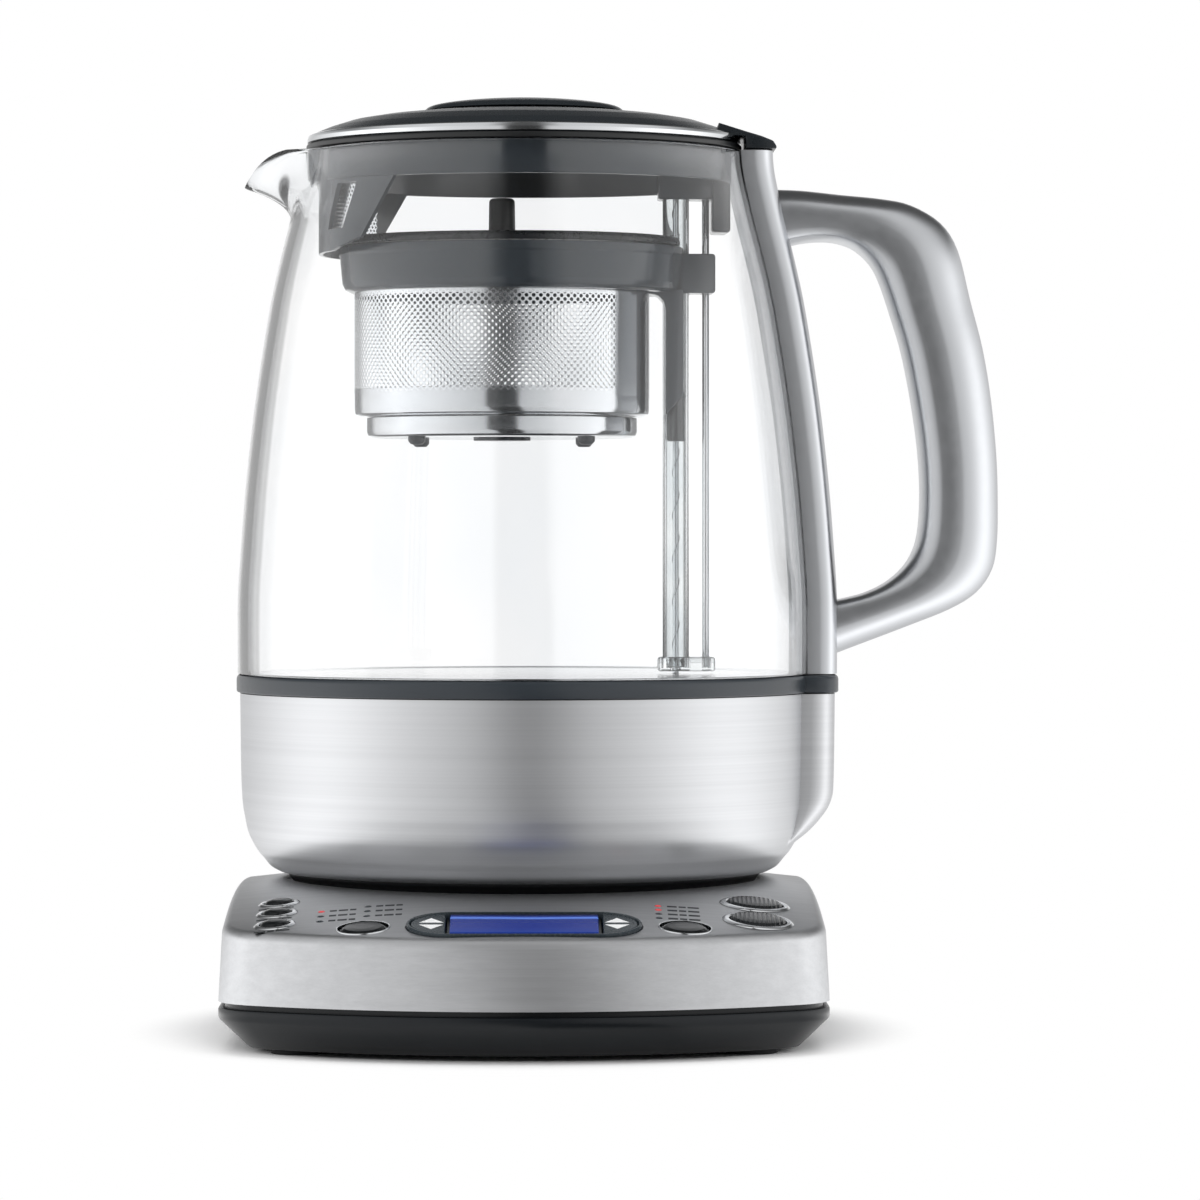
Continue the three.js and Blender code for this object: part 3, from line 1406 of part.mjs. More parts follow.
function buildLidShell() {
  const rise = lidTopZ - lidEdgeZ;
  const hole = knobSpigotRadius + fitGap;
  const domeAt = ([radius, height], drop) => [lidEdgeRadius * radius, lidEdgeZ + rise * height - drop];
  const over = lidProfileShares.map((share) => domeAt(share, 0));
  const under = lidProfileShares.slice(2).map((share) => domeAt(share, lidWall)).reverse();
  const flat = lidSeatRadius - lidFlangeWidth - fitGap;
  const profile = [
    [hole, lidTopZ - lidWall],
    ...under,
    [flat, lidBottomZ],
    [lidEdgeRadius, lidBottomZ],
    [lidEdgeRadius, lidEdgeZ],
    ...over,
    [hole, lidTopZ],
  ];
  const dome = turnedRing(profile, largeSides);
  const start = tongueReach - tongueLength;
  const gasketEdge = lidSeatRadius + fitGap + gasketReach + fitGap;
  const tipBottom = rimZ + fitGap;
  const outline = new THREE.Shape([
    new THREE.Vector2(start, tipBottom),
    new THREE.Vector2(tongueReach, tipBottom),
    new THREE.Vector2(tongueReach - tongueTip / 2, tipBottom + tongueTip),
    new THREE.Vector2(gasketEdge, lidBottomZ + tongueMiddleRise),
    new THREE.Vector2(start, lidBottomZ + tongueRise),
  ]);
  const tongue = new THREE.ExtrudeGeometry(outline, { depth: 2 * tongueHalfWidth, bevelEnabled: false })
    .rotateX(Math.PI / 2)
    .translate(0, tongueHalfWidth, 0);
  const corner = disc(tongueReach, lidSkirtBottomZ, lidTopZ, largeSides);
  const room = disc(gasketEdge, lidSkirtBottomZ, lidBottomZ, largeSides);
  addPiece("lid_shell", join(dome, cut(common(tongue, corner), room)), "lidPlastic");
}

function buildLidRings() {
  const inner = lidSeatRadius + fitGap;
  const gasket = tube(inner, inner + gasketReach, gasketBottomZ, gasketTopZ, largeSides);
  addPiece("lid_gasket", gasket, "blackPlastic");
  const trim = turnedRing([
    [inner, trimBottomZ],
    [inner + trimReach, trimBottomZ],
    [inner + trimReach * trimTopShare, trimTopZ],
    [inner, trimTopZ],
  ], largeSides);
  addPiece("lid_trim", trim, "polishedSteel");
}

// The lid's inner moulding: the ring inside the glass, the spout filter frame and the tower socket.
function buildLidSkirt() {
  const inner = lidSeatRadius - lidSkirtWall;
  const flangeZ = lidSkirtTopZ - lidFlangeThickness;
  const profile = [
    [inner, lidSkirtBottomZ],
    [lidSeatRadius, lidSkirtBottomZ],
    [lidSeatRadius, lidSkirtTopZ],
    [lidSeatRadius - lidFlangeWidth, lidSkirtTopZ],
    [lidSeatRadius - lidFlangeWidth, flangeZ],
    [inner, flangeZ],
  ];
  const ring = turnedRing(profile, largeSides);
  const filterBottom = lidSkirtBottomZ - filterDrop;
  const overlapZ = lidSkirtBottomZ + lidSkirtWall;
  const frameInner = inner + filterBackSet;
  const frameOuter = lidSeatRadius - filterSetIn;
  const low = { z: filterBottom, middle: Math.PI, half: filterBottomAngle };
  const high = { z: overlapZ, middle: Math.PI, half: filterTopAngle };
  const frame = bentPlate(frameInner, frameOuter, low, high, mediumSides, filterCornerLift);
  const windows = [-1, 0, 1].map((place) => bentPlate(
    inner - cutOverrun,
    lidSeatRadius + cutOverrun,
    { z: filterBottom + windowBottom, middle: Math.PI + place * windowBottomSpacing, half: windowAngle },
    { z: lidSkirtBottomZ - windowTop, middle: Math.PI + place * windowTopSpacing, half: windowAngle },
    tinySides / 2,
  ));
  const socketBottom = tubeTopZ - socketGrip;
  const socketWallGap = fitGap + socketSideWall;
  const socket = block(
    [towerX - tubeRadius - socketWallGap, -socketHalfWidth, socketBottom],
    [rodX + rodRadius + socketWallGap, socketHalfWidth, tubeTopZ + socketRise],
  );
  const rear = block(
    [rodX + rodRadius + slideGap, -rearBlockHalfWidth, lidSkirtBottomZ - rearBlockDrop],
    [rearBlockReach, rearBlockHalfWidth, flangeZ + lidFlangeThickness / 2],
  );
  const tubeHoleBottom = socketBottom - cutOverrun;
  const tubeHole = disc(tubeRadius + fitGap, tubeHoleBottom, tubeTopZ + fitGap, mediumSides, towerX);
  const rodHole = disc(rodRadius + fitGap, tubeHoleBottom, rodTopZ + fitGap, tinySides, rodX);
  const moulding = cut(join(ring, frame, socket, rear), ...windows, tubeHole, rodHole);
  addPiece("lid_skirt", moulding, "basketPlastic");
}

function buildSpoutMesh() {
  const outer = lidSeatRadius - lidSkirtWall - 2 * fitGap;
  const edge = windowAngle + filterMeshOverlap;
  const bottom = lidSkirtBottomZ - filterDrop + windowBottom - windowMargin;
  const low = { z: bottom, middle: Math.PI, half: windowBottomSpacing + edge };
  const high = { z: lidSkirtBottomZ - windowTop / 2, middle: Math.PI, half: windowTopSpacing + edge };
  const plate = bentPlate(outer - filterMeshThickness, outer, low, high, smallSides);
  addPiece("spout_mesh", plate, "polishedSteel");
}

function buildLidKnob() {
  const bottomZ = lidTopZ + fitGap;
  const profile = [
    [0, bottomZ - knobSpigotLength],
    [knobSpigotRadius, bottomZ - knobSpigotLength],
    [knobSpigotRadius, bottomZ],
    ...knobProfileShares.map(([radius, height]) => [knobRadius * radius, bottomZ + knobHeight * height]),
    [0, bottomZ + knobHeight],
  ];
  addPiece("lid_knob", turned(profile, largeSides), "blackPlastic");
}

buildBaseShell();
buildBaseTray();
buildFeetAndScrews();
buildCordGland();
buildPowerConnector();
buildDisplay();
buildButtons();
buildLightGuides();
buildControlBoard();
buildSteelSkirt();
buildSealRing();
buildJugFoot();
buildJugSocket();
buildHeater();
buildLift();
buildGlass();
buildSpine();
buildHandle();
buildBasketCollar();
buildBasketMesh();
buildBasketPan();
buildBasketLid();
buildLidShell();
buildLidRings();
buildLidSkirt();
buildSpoutMesh();
buildLidKnob();

// The origin lies on the table, under the middle of the whole model.
model.updateMatrixWorld(true);
const extent = new THREE.Box3().setFromObject(model);
const middle = extent.getCenter(new THREE.Vector3());
model.position.set(-middle.x, -middle.y, -extent.min.z);

export default model;
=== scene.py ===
"""Looks for a glass automatic tea maker on its power base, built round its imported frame.

Shapes are drawn in millimetres round the jug's axis, X towards the handle and -Y towards the keys,
and one matrix takes them to metres in the frame.
"""

from math import asin, atan2, copysign, cos, pi, radians, sin, sqrt, tan

import bmesh
import bpy
from mathutils import Matrix, Vector


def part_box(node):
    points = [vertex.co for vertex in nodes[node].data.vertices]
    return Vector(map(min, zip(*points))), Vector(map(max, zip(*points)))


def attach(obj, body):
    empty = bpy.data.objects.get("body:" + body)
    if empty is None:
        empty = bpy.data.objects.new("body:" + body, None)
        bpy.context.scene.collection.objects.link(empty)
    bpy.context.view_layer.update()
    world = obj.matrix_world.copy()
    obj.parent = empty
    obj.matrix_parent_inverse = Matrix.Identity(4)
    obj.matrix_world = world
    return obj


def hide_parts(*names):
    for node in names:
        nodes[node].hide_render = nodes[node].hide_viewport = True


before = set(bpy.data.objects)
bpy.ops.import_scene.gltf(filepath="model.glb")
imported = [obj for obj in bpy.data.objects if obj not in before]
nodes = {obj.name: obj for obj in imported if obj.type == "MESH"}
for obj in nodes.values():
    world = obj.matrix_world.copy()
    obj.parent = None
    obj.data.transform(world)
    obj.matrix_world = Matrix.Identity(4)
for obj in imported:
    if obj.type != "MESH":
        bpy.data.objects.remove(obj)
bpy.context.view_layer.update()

plate_low, plate_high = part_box("heater_plate")
jug_axis = Vector(((plate_low.x + plate_high.x) / 2, (plate_low.y + plate_high.y) / 2, 0))
to_row = Matrix.Translation(jug_axis) @ Matrix.Scale(0.001, 4)
quarter = pi / 2

# Camera at the photograph's place, from the jug's axis, in millimetres
camera_distance = 1567
camera_height = 137.6
aim_across = 21.3
aim_height = 119.3
camera_lens = 167.4
sensor_width = 36

# Power base
base_half_width = 81.4
base_front_reach = 121
base_back_reach = 89
base_front_radius = 130
base_back_radius = 110
base_front_corner = 20
base_back_corner = 35
crown_height = 45
crown_depth_radius = 562
crown_width_radius = 700
shoulder_radius = 2.5
wall_draft = 1
shell_bottom = 13.75
shell_wall = 1.2
seat_radius = 66.5
seat_height = 40
seat_edge = 0.9
socket_opening = 18.3
tray_bottom = 1.5
tray_top = 12.25
tray_chamfer = 8
shadow_inset = 1.8
shadow_height = 3.5
inlet_height = 23
inlet_radius = 5.3

# Display and keys on the panel
display_y = -103.8
display_length = 62
display_depth = 24
display_proud = 0.4
lens_width = 39
lens_depth = 19.5
rocker_start = 20.5
small_keys = {"auto_start": (-66, -64), "timer": (-66, -77.75), "clock": (-66, -91.5)}
middle_keys = {"tea_type": (-42.3, -102.525), "tea_strength": (42.3, -102.525)}
large_keys = {"brew": (62, -68.513), "hot_water": (62, -89.513)}
small_cap = 3.9
middle_cap = 5.8
large_cap = 7.4
flange_height = 1.2
left_lights = [
    (-54 + 12.3 * column, -92 + 2.6 * column + 5.8 * row) for column in range(2) for row in range(3)
]
right_lights = [(35.7, -93.4 + 4.8 * row) for row in range(4)]
light_radius = 0.9
hole_reach = (-6, 3)

# Jug
foot_bottom = 40.3
foot_top = 44
foot_radius = 64.7
foot_edge = 67.0
skirt_bottom = 43.7
skirt_height = 49.7
skirt_radius = 79.6
skirt_wall = 1
lobe_half_width = 20.5
lobe_reach = 7.3
seal_bottom = 93.7
seal_top = 98.6
glass_bottom = 98.9
glass_height = 145.6
glass_radius = 80.3
glass_wall = 2.8
spout_reach = 15.8
spout_drop = 10
spout_start = 0.862
spout_half_angle = radians(24)
spout_drop_power = 3.2
skirt_shares = [
    (0, 0.8606), (0.028, 0.892), (0.0744, 0.917), (0.1247, 0.942), (0.2153, 0.971), (0.31, 0.984),
    (0.3661, 0.99), (0.46, 0.9945), (0.6278, 0.9975), (1, 1),
]
glass_shares = [
    (0, 1), (0.14, 1), (0.2335, 0.99), (0.3324, 0.9763), (0.4293, 0.9589), (0.5254, 0.9377),
    (0.6216, 0.9116), (0.7184, 0.8817), (0.7953, 0.8506), (0.862, 0.8205), (0.93, 0.7925),
    (0.97, 0.7795), (1, 0.7758),
]

# Handle: outer and inner point of each section, as shares of the way out from its root and of its height
handle_root = 68.46
handle_reach = 133.1
handle_height = 135.6
handle_half_depth = 12.5
handle_inner_squareness = 4.5
handle_outer_squareness = 2
handle_shares = [
    ((0.0006, 1), (0.0006, 0.8709)), ((0.1398, 0.9978), (0.1398, 0.8886)),
    ((0.3146, 0.9889), (0.2559, 0.8923)), ((0.4879, 0.9808), (0.3456, 0.8827)),
    ((0.6194, 0.9676), (0.4075, 0.8636)), ((0.7494, 0.9307), (0.4554, 0.837)),
    ((0.8252, 0.8739), (0.491, 0.8001)), ((0.8793, 0.7714), (0.5343, 0.7382)),
    ((0.9335, 0.6711), (0.5807, 0.6645)), ((0.9706, 0.5642), (0.6225, 0.5642)),
    ((0.9938, 0.4499), (0.6535, 0.458)), ((1, 0.3569), (0.6627, 0.3658)),
    ((0.9969, 0.2729), (0.6519, 0.2883)), ((0.9752, 0.2139), (0.621, 0.2426)),
    ((0.9056, 0.1659), (0.5684, 0.2087)), ((0.7896, 0.1313), (0.4957, 0.1822)),
    ((0.6117, 0.0973), (0.4137, 0.1645)), ((0.4415, 0.0664), (0.3425, 0.1556)),
    ((0.3023, 0.0413), (0.2791, 0.1497)), ((0.1785, 0.0184), (0.1785, 0.1423)),
]
spine_half_width = 17
spine_thickness = 6.9
spine_gap = 0.3
spine_power = 1 / 2.4

# Lift tower
tower_x = 42.6
rod_x = 51
tube_radius = 3.7
tube_wall = 0.8
tube_bottom = 100.7
tube_top = 235.2
tube_bore = 4.1
screw_radius = 1.1
screw_room = 0.4
screw_bottom = 88.6
screw_lead = 12
screw_turns = 11
turn_steps = 20

# Basket
collar_x = -3.6
basket_x = -6.2
collar_bottom = 205
collar_top = 217.6
collar_radius = 48.3
basket_radius = 41.4
basket_inner = 40.9
basket_bottom = 170.5
pierced_bottom = 177
pierced_top = 204
pierced_columns = 130
pierced_hole = 0.55
seam_half_angle = radians(39)
pan_radius = 38
pan_top = 170.2
pan_bottom = 164.7
clip_half_width = 7
leg_bottom = 171
nub_reach = 33
notch_slope = radians(60)
notch_reach = 46

# Lid
rim_height = 244.5
lid_seat = 58.2
lid_edge = 60.4
lid_bottom = 248.3
lid_top = 255.7
tongue_half_width = 16.9
skirt_ring_bottom = 235.3
trim_top = 248.0
filter_bottom = 215.8
filter_half_angle = radians(39)
knob_radius = 28.1
knob_bottom = 256.0
knob_rise = 3.9

# Studio: how bright each side looks in a reflection, by degrees from the camera
screen_strength = 1.9
screen_top = (0.22, 0.5)
world_strength = 0.42
shadow_reach = (0.112, 0.135)
screen_stops = (
    (0, 0.05), (9, 0.06), (12.5, 0.82), (33, 0.95), (47, 1.08), (62, 1.4), (78, 1.8), (92, 1.85), (106, 1.5),
    (122, 1.15), (136, 0.95), (150, 0.75), (166, 0.8), (172, 1.05), (180, 1.05),
)
flag_stops = (
    (0, 0.05), (11, 0.06), (14, 0.8), (62, 1.3), (92, 1.6), (122, 1.2), (136, 0.9), (145, 0.22), (164, 0.2),
    (169, 1.06), (180, 1.06),
)
room_stops = ((0, 0.1), (8, 0.12), (22, 0.8), (50, 0.9), (80, 0.8), (110, 0.3), (135, 0.1), (180, 0.08))


# Shapes


def linear(hex_code):
    """An sRGB hex colour as the linear values that the sockets take."""
    channels = [int(hex_code[i:i + 2], 16) / 255 for i in (1, 3, 5)]
    return tuple(c / 12.92 if c <= 0.04045 else ((c + 0.055) / 1.055) ** 2.4 for c in channels) + (1.0,)


def smooth_table(table, steps):
    """More points on the soft curve through a table of pairs."""
    points = [Vector(pair) for pair in table]
    curve = []
    for i in range(len(points) - 1):
        before = points[max(i - 1, 0)]
        start, end = points[i], points[i + 1]
        after = points[min(i + 2, len(points) - 1)]
        for k in range(steps):
            t = k / steps
            pull_in = (end - before) / 2
            pull_out = (after - start) / 2
            curve.append(
                start * (2 * t**3 - 3 * t**2 + 1) + pull_in * (t**3 - 2 * t**2 + t)
                + end * (3 * t**2 - 2 * t**3) + pull_out * (t**3 - t**2)
            )
    curve.append(points[-1])
    return [tuple(point) for point in curve]


def polar(radius, angle):
    return radius * cos(angle), radius * sin(angle)


def only(kind, items):
    return [item for item in items if isinstance(item, kind)]


def eased(bm, geom, offset, affect="EDGES", segments=3):
    """Rounds some edges or corners of a shape."""
    bmesh.ops.bevel(
        bm, geom=geom, affect=affect, offset=offset, offset_type="OFFSET",
        segments=segments, profile=0.5, material=-1,
    )
    return bm


def moved(bm, vec, verts=None):
    bmesh.ops.translate(bm, vec=vec, verts=verts or bm.verts[:])
    return bm


def placed(bm, matrix):
    bm.transform(matrix)
    return bm


def around(bm, geom, angle, steps, **settings):
    """Spins some of a shape about the Z axis."""
    bmesh.ops.spin(bm, geom=geom, cent=(0, 0, 0), axis=(0, 0, 1), angle=angle, steps=steps, **settings)


def spun(profile, steps=128, rounding=0.0, x=0.0):
    """Turns a profile of (radius, height) about the Z axis, its corners rounded first."""
    bm = bmesh.new()
    verts = [bm.verts.new((radius, 0, height)) for radius, height in profile]
    for pair in zip(verts, verts[1:]):
        bm.edges.new(pair)
    closed = profile[0][0] > 0
    if closed:
        bm.edges.new((verts[-1], verts[0]))
    if rounding:
        eased(bm, verts if closed else verts[1:-1], rounding, "VERTICES")
    around(bm, bm.verts[:] + bm.edges[:], 2 * pi, steps, use_merge=True)
    bmesh.ops.remove_doubles(bm, verts=bm.verts[:], dist=0.001)
    return moved(bm, (x, 0, 0))


def sleeve(inner, outer, bottom, top):
    """The profile of a plain ring, or of a disc where the inner radius is 0."""
    return [(inner, bottom), (outer, bottom), (outer, top), (inner, top)]


def upright(radius, bottom, top, steps=48, x=0.0):
    return spun(sleeve(0, radius, bottom, top), steps, x=x)


def skinned(rings, tunnel=False, capped=True):
    """Extrudes the first ring of points through the others; a tunnel joins the last to the first."""
    bm = bmesh.new()
    count = len(rings[0])
    verts = [bm.verts.new(point) for point in rings[0]]
    edges = [bm.edges.new((verts[i], verts[(i + 1) % count])) for i in range(count)]
    first = edges
    for ring in rings[1:]:
        places = {tuple(vert.co): i for i, vert in enumerate(verts)}
        made = bmesh.ops.extrude_edge_only(bm, edges=edges)["geom"]
        verts = sorted(only(bmesh.types.BMVert, made), key=lambda vert: places[tuple(vert.co)])
        for vert, point in zip(verts, ring):
            vert.co = point
        kept = set(verts)
        edges = [edge for edge in only(bmesh.types.BMEdge, made) if kept.issuperset(edge.verts)]
    if tunnel:
        bmesh.ops.bridge_loops(bm, edges=list(first) + edges)
    elif capped:
        bmesh.ops.edgeloop_fill(bm, edges=list(first))
        bmesh.ops.edgeloop_fill(bm, edges=edges)
    return bm


def rounded_block(low, high, rounding, segments=3):
    """A box between two corners with all its edges rounded."""
    bm = bmesh.new()
    bmesh.ops.create_cube(bm, size=1)
    bmesh.ops.scale(bm, vec=Vector(high) - Vector(low), verts=bm.verts[:])
    moved(bm, (Vector(low) + Vector(high)) / 2)
    return eased(bm, bm.edges[:], rounding, segments=segments)


def pushed(points, vec):
    """Pushes a flat face of points along a line. Gives the solid and the points of its far end."""
    bm = bmesh.new()
    face = bm.faces.new([bm.verts.new(point) for point in points])
    far_end = only(bmesh.types.BMVert, bmesh.ops.extrude_face_region(bm, geom=[face])["geom"])
    return moved(bm, vec, far_end), far_end


def sunk_outline(points, bottom, top, rounding=0.0):
    """An upright prism over a flat outline, its top edge rounded."""
    bm, raised = pushed([(x, y, bottom) for x, y in points], (0, 0, top - bottom))
    if rounding:
        eased(bm, [edge for edge in bm.edges if all(vert in set(raised) for vert in edge.verts)], rounding)
    return bm


def side_profile(points, half_width, rounding):
    """A solid with one outline seen from the front, all its edges rounded."""
    bm, _ = pushed([(x, -half_width, z) for x, z in points], (0, 2 * half_width, 0))
    return eased(bm, bm.edges[:], rounding)


def merged(*shapes):
    """One shape from several that are drawn apart."""
    whole = bmesh.new()
    for shape in shapes:
        mesh = bpy.data.meshes.new("part")
        shape.to_mesh(mesh)
        shape.free()
        whole.from_mesh(mesh)
        bpy.data.meshes.remove(mesh)
    return whole


def new_object(name, bm):
    """Puts a shape in the scene."""
    mesh = bpy.data.meshes.new(name)
    bm.to_mesh(mesh)
    bm.free()
    thing = bpy.data.objects.new(name, mesh)
    bpy.context.scene.collection.objects.link(thing)
    return thing


def stand_in(bm):
    """An object that only lives while a modifier works on it or with it."""
    bmesh.ops.recalc_face_normals(bm, faces=bm.faces[:])
    return new_object("stand_in", bm)


def add_modifier(piece, kind, **settings):
    modifier = piece.modifiers.new(kind.title(), kind)
    for key, value in settings.items():
        setattr(modifier, key, value)


def bored(bm, *cutters, wall=0.0):
    """Gives a skin its wall where one is named, then cuts the other shapes out of it."""
    body = stand_in(bm)
    tool = stand_in(merged(*cutters))
    if wall:
        add_modifier(body, "SOLIDIFY", thickness=wall, offset=-1)
    add_modifier(body, "BOOLEAN", operation="DIFFERENCE", solver="EXACT", object=tool)
    mesh = bpy.data.meshes.new_from_object(body.evaluated_get(bpy.context.evaluated_depsgraph_get()))
    result = bmesh.new()
    result.from_mesh(mesh)
    bpy.data.meshes.remove(mesh)
    for thing in (body, tool):
        data = thing.data
        bpy.data.objects.remove(thing)
        bpy.data.meshes.remove(data)
    return result


def finished(name, bm, body, material, replaces=None, place=None, crease=35, slot=None, turn=True):
    """Makes a piece of a shape drawn in millimetres, on its body and in place of its CAD node."""
    if turn:
        bmesh.ops.recalc_face_normals(bm, faces=bm.faces[:])
    if place:
        bm.transform(place)
    bm.transform(to_row)
    for face in bm.faces:
        face.smooth = True
    for edge in bm.edges:
        if len(edge.link_faces) == 2 and edge.calc_face_angle(0) > radians(crease):
            edge.smooth = False
    piece = new_object(name, bm)
    piece.data.materials.append(material)
    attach(piece, body)
    if replaces:
        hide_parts(replaces)


def turned(name, body, material, node, profile, steps=160, rounding=0.0, x=0.0, **settings):
    """Makes a piece from the profile that it is turned to."""
    finished(name, spun(profile, steps, rounding, x), body, material, node, **settings)


# Materials


def set_sockets(tree, node, inputs):
    """Sets or links a node's sockets. Another node is linked by its first output."""
    for socket, value in inputs.items():
        if isinstance(value, bpy.types.Node):
            value = value.outputs[0]
        if isinstance(value, bpy.types.NodeSocket):
            tree.links.new(value, node.inputs[socket])
        else:
            node.inputs[socket].default_value = value


def add_node(tree, kind, inputs=None, **settings):
    """Adds a shader node with its socket values, its links and its settings."""
    node = tree.nodes.new("ShaderNode" + kind)
    for key, value in settings.items():
        setattr(node, key, value)
    set_sockets(tree, node, inputs or {})
    return node


def new_material(name, **sockets):
    """A material with its principled shader and its node tree."""
    material = bpy.data.materials.new(name)
    material.use_nodes = True
    tree = material.node_tree
    shader = tree.nodes["Principled BSDF"]
    set_sockets(tree, shader, {socket.replace("_", " "): value for socket, value in sockets.items()})
    return material, tree, shader


def object_pattern(tree, size):
    """Object coordinates that count one for each size in millimetres along each axis."""
    place = add_node(tree, "TexCoord")
    return add_node(tree, "Mapping", {
        "Vector": place.outputs["Object"], "Scale": [1000 / length for length in size],
    })


def clouded(tree, size, detail, roughness=0.5):
    """Noise on the object, its grain of the given size in millimetres along each axis."""
    return add_node(tree, "TexNoise", {
        "Vector": object_pattern(tree, size), "Scale": 1.0, "Detail": detail, "Roughness": roughness,
    }).outputs["Fac"]


def colour_ramp(tree, factor, stops):
    """A ramp through stops that each have a place from 0 to 1 and a hex colour or a grey level."""
    ramp = add_node(tree, "ValToRGB", {"Fac": factor})
    while len(ramp.color_ramp.elements) < len(stops):
        ramp.color_ramp.elements.new(0.5)
    for stop, (place, colour) in zip(ramp.color_ramp.elements, stops):
        stop.position = place
        stop.color = linear(colour) if isinstance(colour, str) else (colour,) * 3 + (1.0,)
    return ramp


def textured(tree, shader, pattern, gloss, depth=0, height=0.1, colours=None, tone=None):
    """Lets a pattern change the roughness, stand up by a height in millimetres and shift the colour."""
    spread = add_node(tree, "MapRange", {"Value": pattern, "To Min": gloss[0], "To Max": gloss[1]})
    set_sockets(tree, shader, {"Roughness": spread})
    if depth:
        bump = add_node(tree, "Bump", {"Height": pattern, "Strength": depth, "Distance": height / 1000})
        set_sockets(tree, shader, {"Normal": bump})
    if colours:
        ramp = colour_ramp(tree, tone or pattern, [(0.35, colours[0]), (0.65, colours[1])])
        set_sockets(tree, shader, {"Base Color": ramp})


def brushed_steel(name, grain, colours, gloss, depth):
    """304 stainless sheet, brushed one way: soft streaks along the grain and a spread reflection."""
    material, tree, shader = new_material(name, Metallic=1.0)
    streaks = clouded(tree, grain, 3.0, 0.6)
    clouds = clouded(tree, [5 * length for length in grain], 1.0)
    both = add_node(tree, "Math", {0: streaks, 1: clouds}, operation="ADD")
    half = add_node(tree, "Math", {0: both, 1: 0.5}, operation="MULTIPLY")
    textured(tree, shader, streaks, gloss, depth, 0.2, colours, half)
    return material


def speckled(name, colour, gloss, size, depth, **sockets):
    """A moulded or cast surface with a fine texture of one size and a slight change in gloss."""
    material, tree, shader = new_material(name, Base_Color=linear(colour), **sockets)
    textured(tree, shader, clouded(tree, (size,) * 3, 2.0, 0.55), gloss, depth)
    return material


def clear_glass(name, colours, ior, gloss, size):
    """A clear solid that bends what stands behind it and darkens along its edges, faintly uneven."""
    material, tree, shader = new_material(name, IOR=ior, Transmission_Weight=1.0)
    textured(tree, shader, clouded(tree, (size,) * 3, 1.0), gloss, colours=colours)
    return material


# Brushed 304 steel: the streaks run round the jug, 143 mm long and 0.42 mm high. The real grain is finer
# still, and this is as coarse as it needs to be to show.
streak_length = 1000 / 7
fine_streak = 1000 / 2400
flat_streak = 1000 / 1800
jug_steel = brushed_steel("brushed_steel_jug", (streak_length, streak_length, fine_streak),
                          ("#c4c5c7", "#cccdcf"), (0.4, 0.46), 0.04)
# The same sheet on the base, brushed from side to side over the panel and the front wall, its colours a little
# darker than the jug's as painted shade.
shade_darkened_base_steel = brushed_steel("brushed_steel_base_painted_shade", (streak_length, flat_streak, fine_streak),
                           ("#bfc0c2", "#c9cacc"), (0.4, 0.46), 0.04)
# Polished 304 sheet: bright, with a faint waviness from the rolls.
polished_steel = speckled("polished_steel_sheet", "#d6d8da", (0.08, 0.16), 6, 0.04, Metallic=1.0)
# Pierced 304 sheet, left bright so that its holes read dark and its webs white.
pierced_steel = speckled("pierced_steel_sheet", "#e4e6e8", (0.18, 0.3), 3, 0.05, Metallic=1.0)
# Nickel and chrome plate on the key rims: mirror bright.
chrome_plate = speckled("chrome_plate", "#e2e4e6", (0.04, 0.09), 8, 0.02, Metallic=1.0)
# Satin nickel on cast zinc for the handle: a soft grey sheen with no grain.
satin_cast = speckled("satin_cast_zinc", "#c8cacd", (0.26, 0.34), 2.5, 0.05, Metallic=1.0)
# Turned brass of the contacts, dulled by use.
contact_brass = speckled("contact_brass", "#c9a45a", (0.2, 0.35), 1.5, 0.08, Metallic=1.0)
# Moulded ABS with a fine spark finish for the tray: near black, with a dull sheen.
tray_plastic = speckled("abs_tray", "#0e1216", (0.26, 0.36), 0.8, 0.08, IOR=1.53, Specular_IOR_Level=0.3)
# Glossy ABS of the lid dome.
lid_plastic = speckled("abs_lid_gloss", "#1a1f23", (0.24, 0.32), 1.6, 0.02, IOR=1.53, Specular_IOR_Level=0.35)
# Polypropylene of the basket clip, the filter frame and the lid's inner moulding, darker for the seal.
basket_plastic = speckled("polypropylene_grey", "#464d54", (0.1, 0.15), 5, 0.004, IOR=1.49)
seal_plastic = speckled("polypropylene_dark", "#2a3036", (0.26, 0.36), 1.2, 0.03, IOR=1.49)
# Glass-filled nylon near the heat: black, slightly dry.
black_plastic = speckled("nylon_black", "#0b0d0f", (0.3, 0.42), 1.0, 0.04, IOR=1.53)
# Dark acrylic of the keys, smooth to the finger, and the greyer one of the display's rockers.
key_plastic = speckled(
    "acrylic_key_dark", "#0d1012", (0.14, 0.22), 1.4, 0.03, IOR=1.5, Specular_IOR_Level=0.25)
rocker_plastic = speckled(
    "acrylic_rocker", "#2c3439", (0.22, 0.32), 1.2, 0.04, IOR=1.5, Specular_IOR_Level=0.3)
# Silicone rubber: matt, with the tooth that grips the table.
rubber = speckled("silicone_rubber", "#1a1b1d", (0.6, 0.75), 0.7, 0.12, IOR=1.41)
board_lacquer = speckled("board_lacquer", "#2f5d3a", (0.3, 0.5), 2, 0.1, IOR=1.5)
magnet_coating = speckled("epoxy_magnet", "#4a4e52", (0.4, 0.55), 1, 0.1, IOR=1.5)
# Pad-printed ink, dark on the steel and white on the keys.
print_ink = speckled("pad_print_ink", "#1b1e21", (0.5, 0.6), 1, 0.02, IOR=1.5)
arrow_ink = speckled("pad_print_white", "#f2f3f4", (0.4, 0.5), 1, 0.02, IOR=1.5)
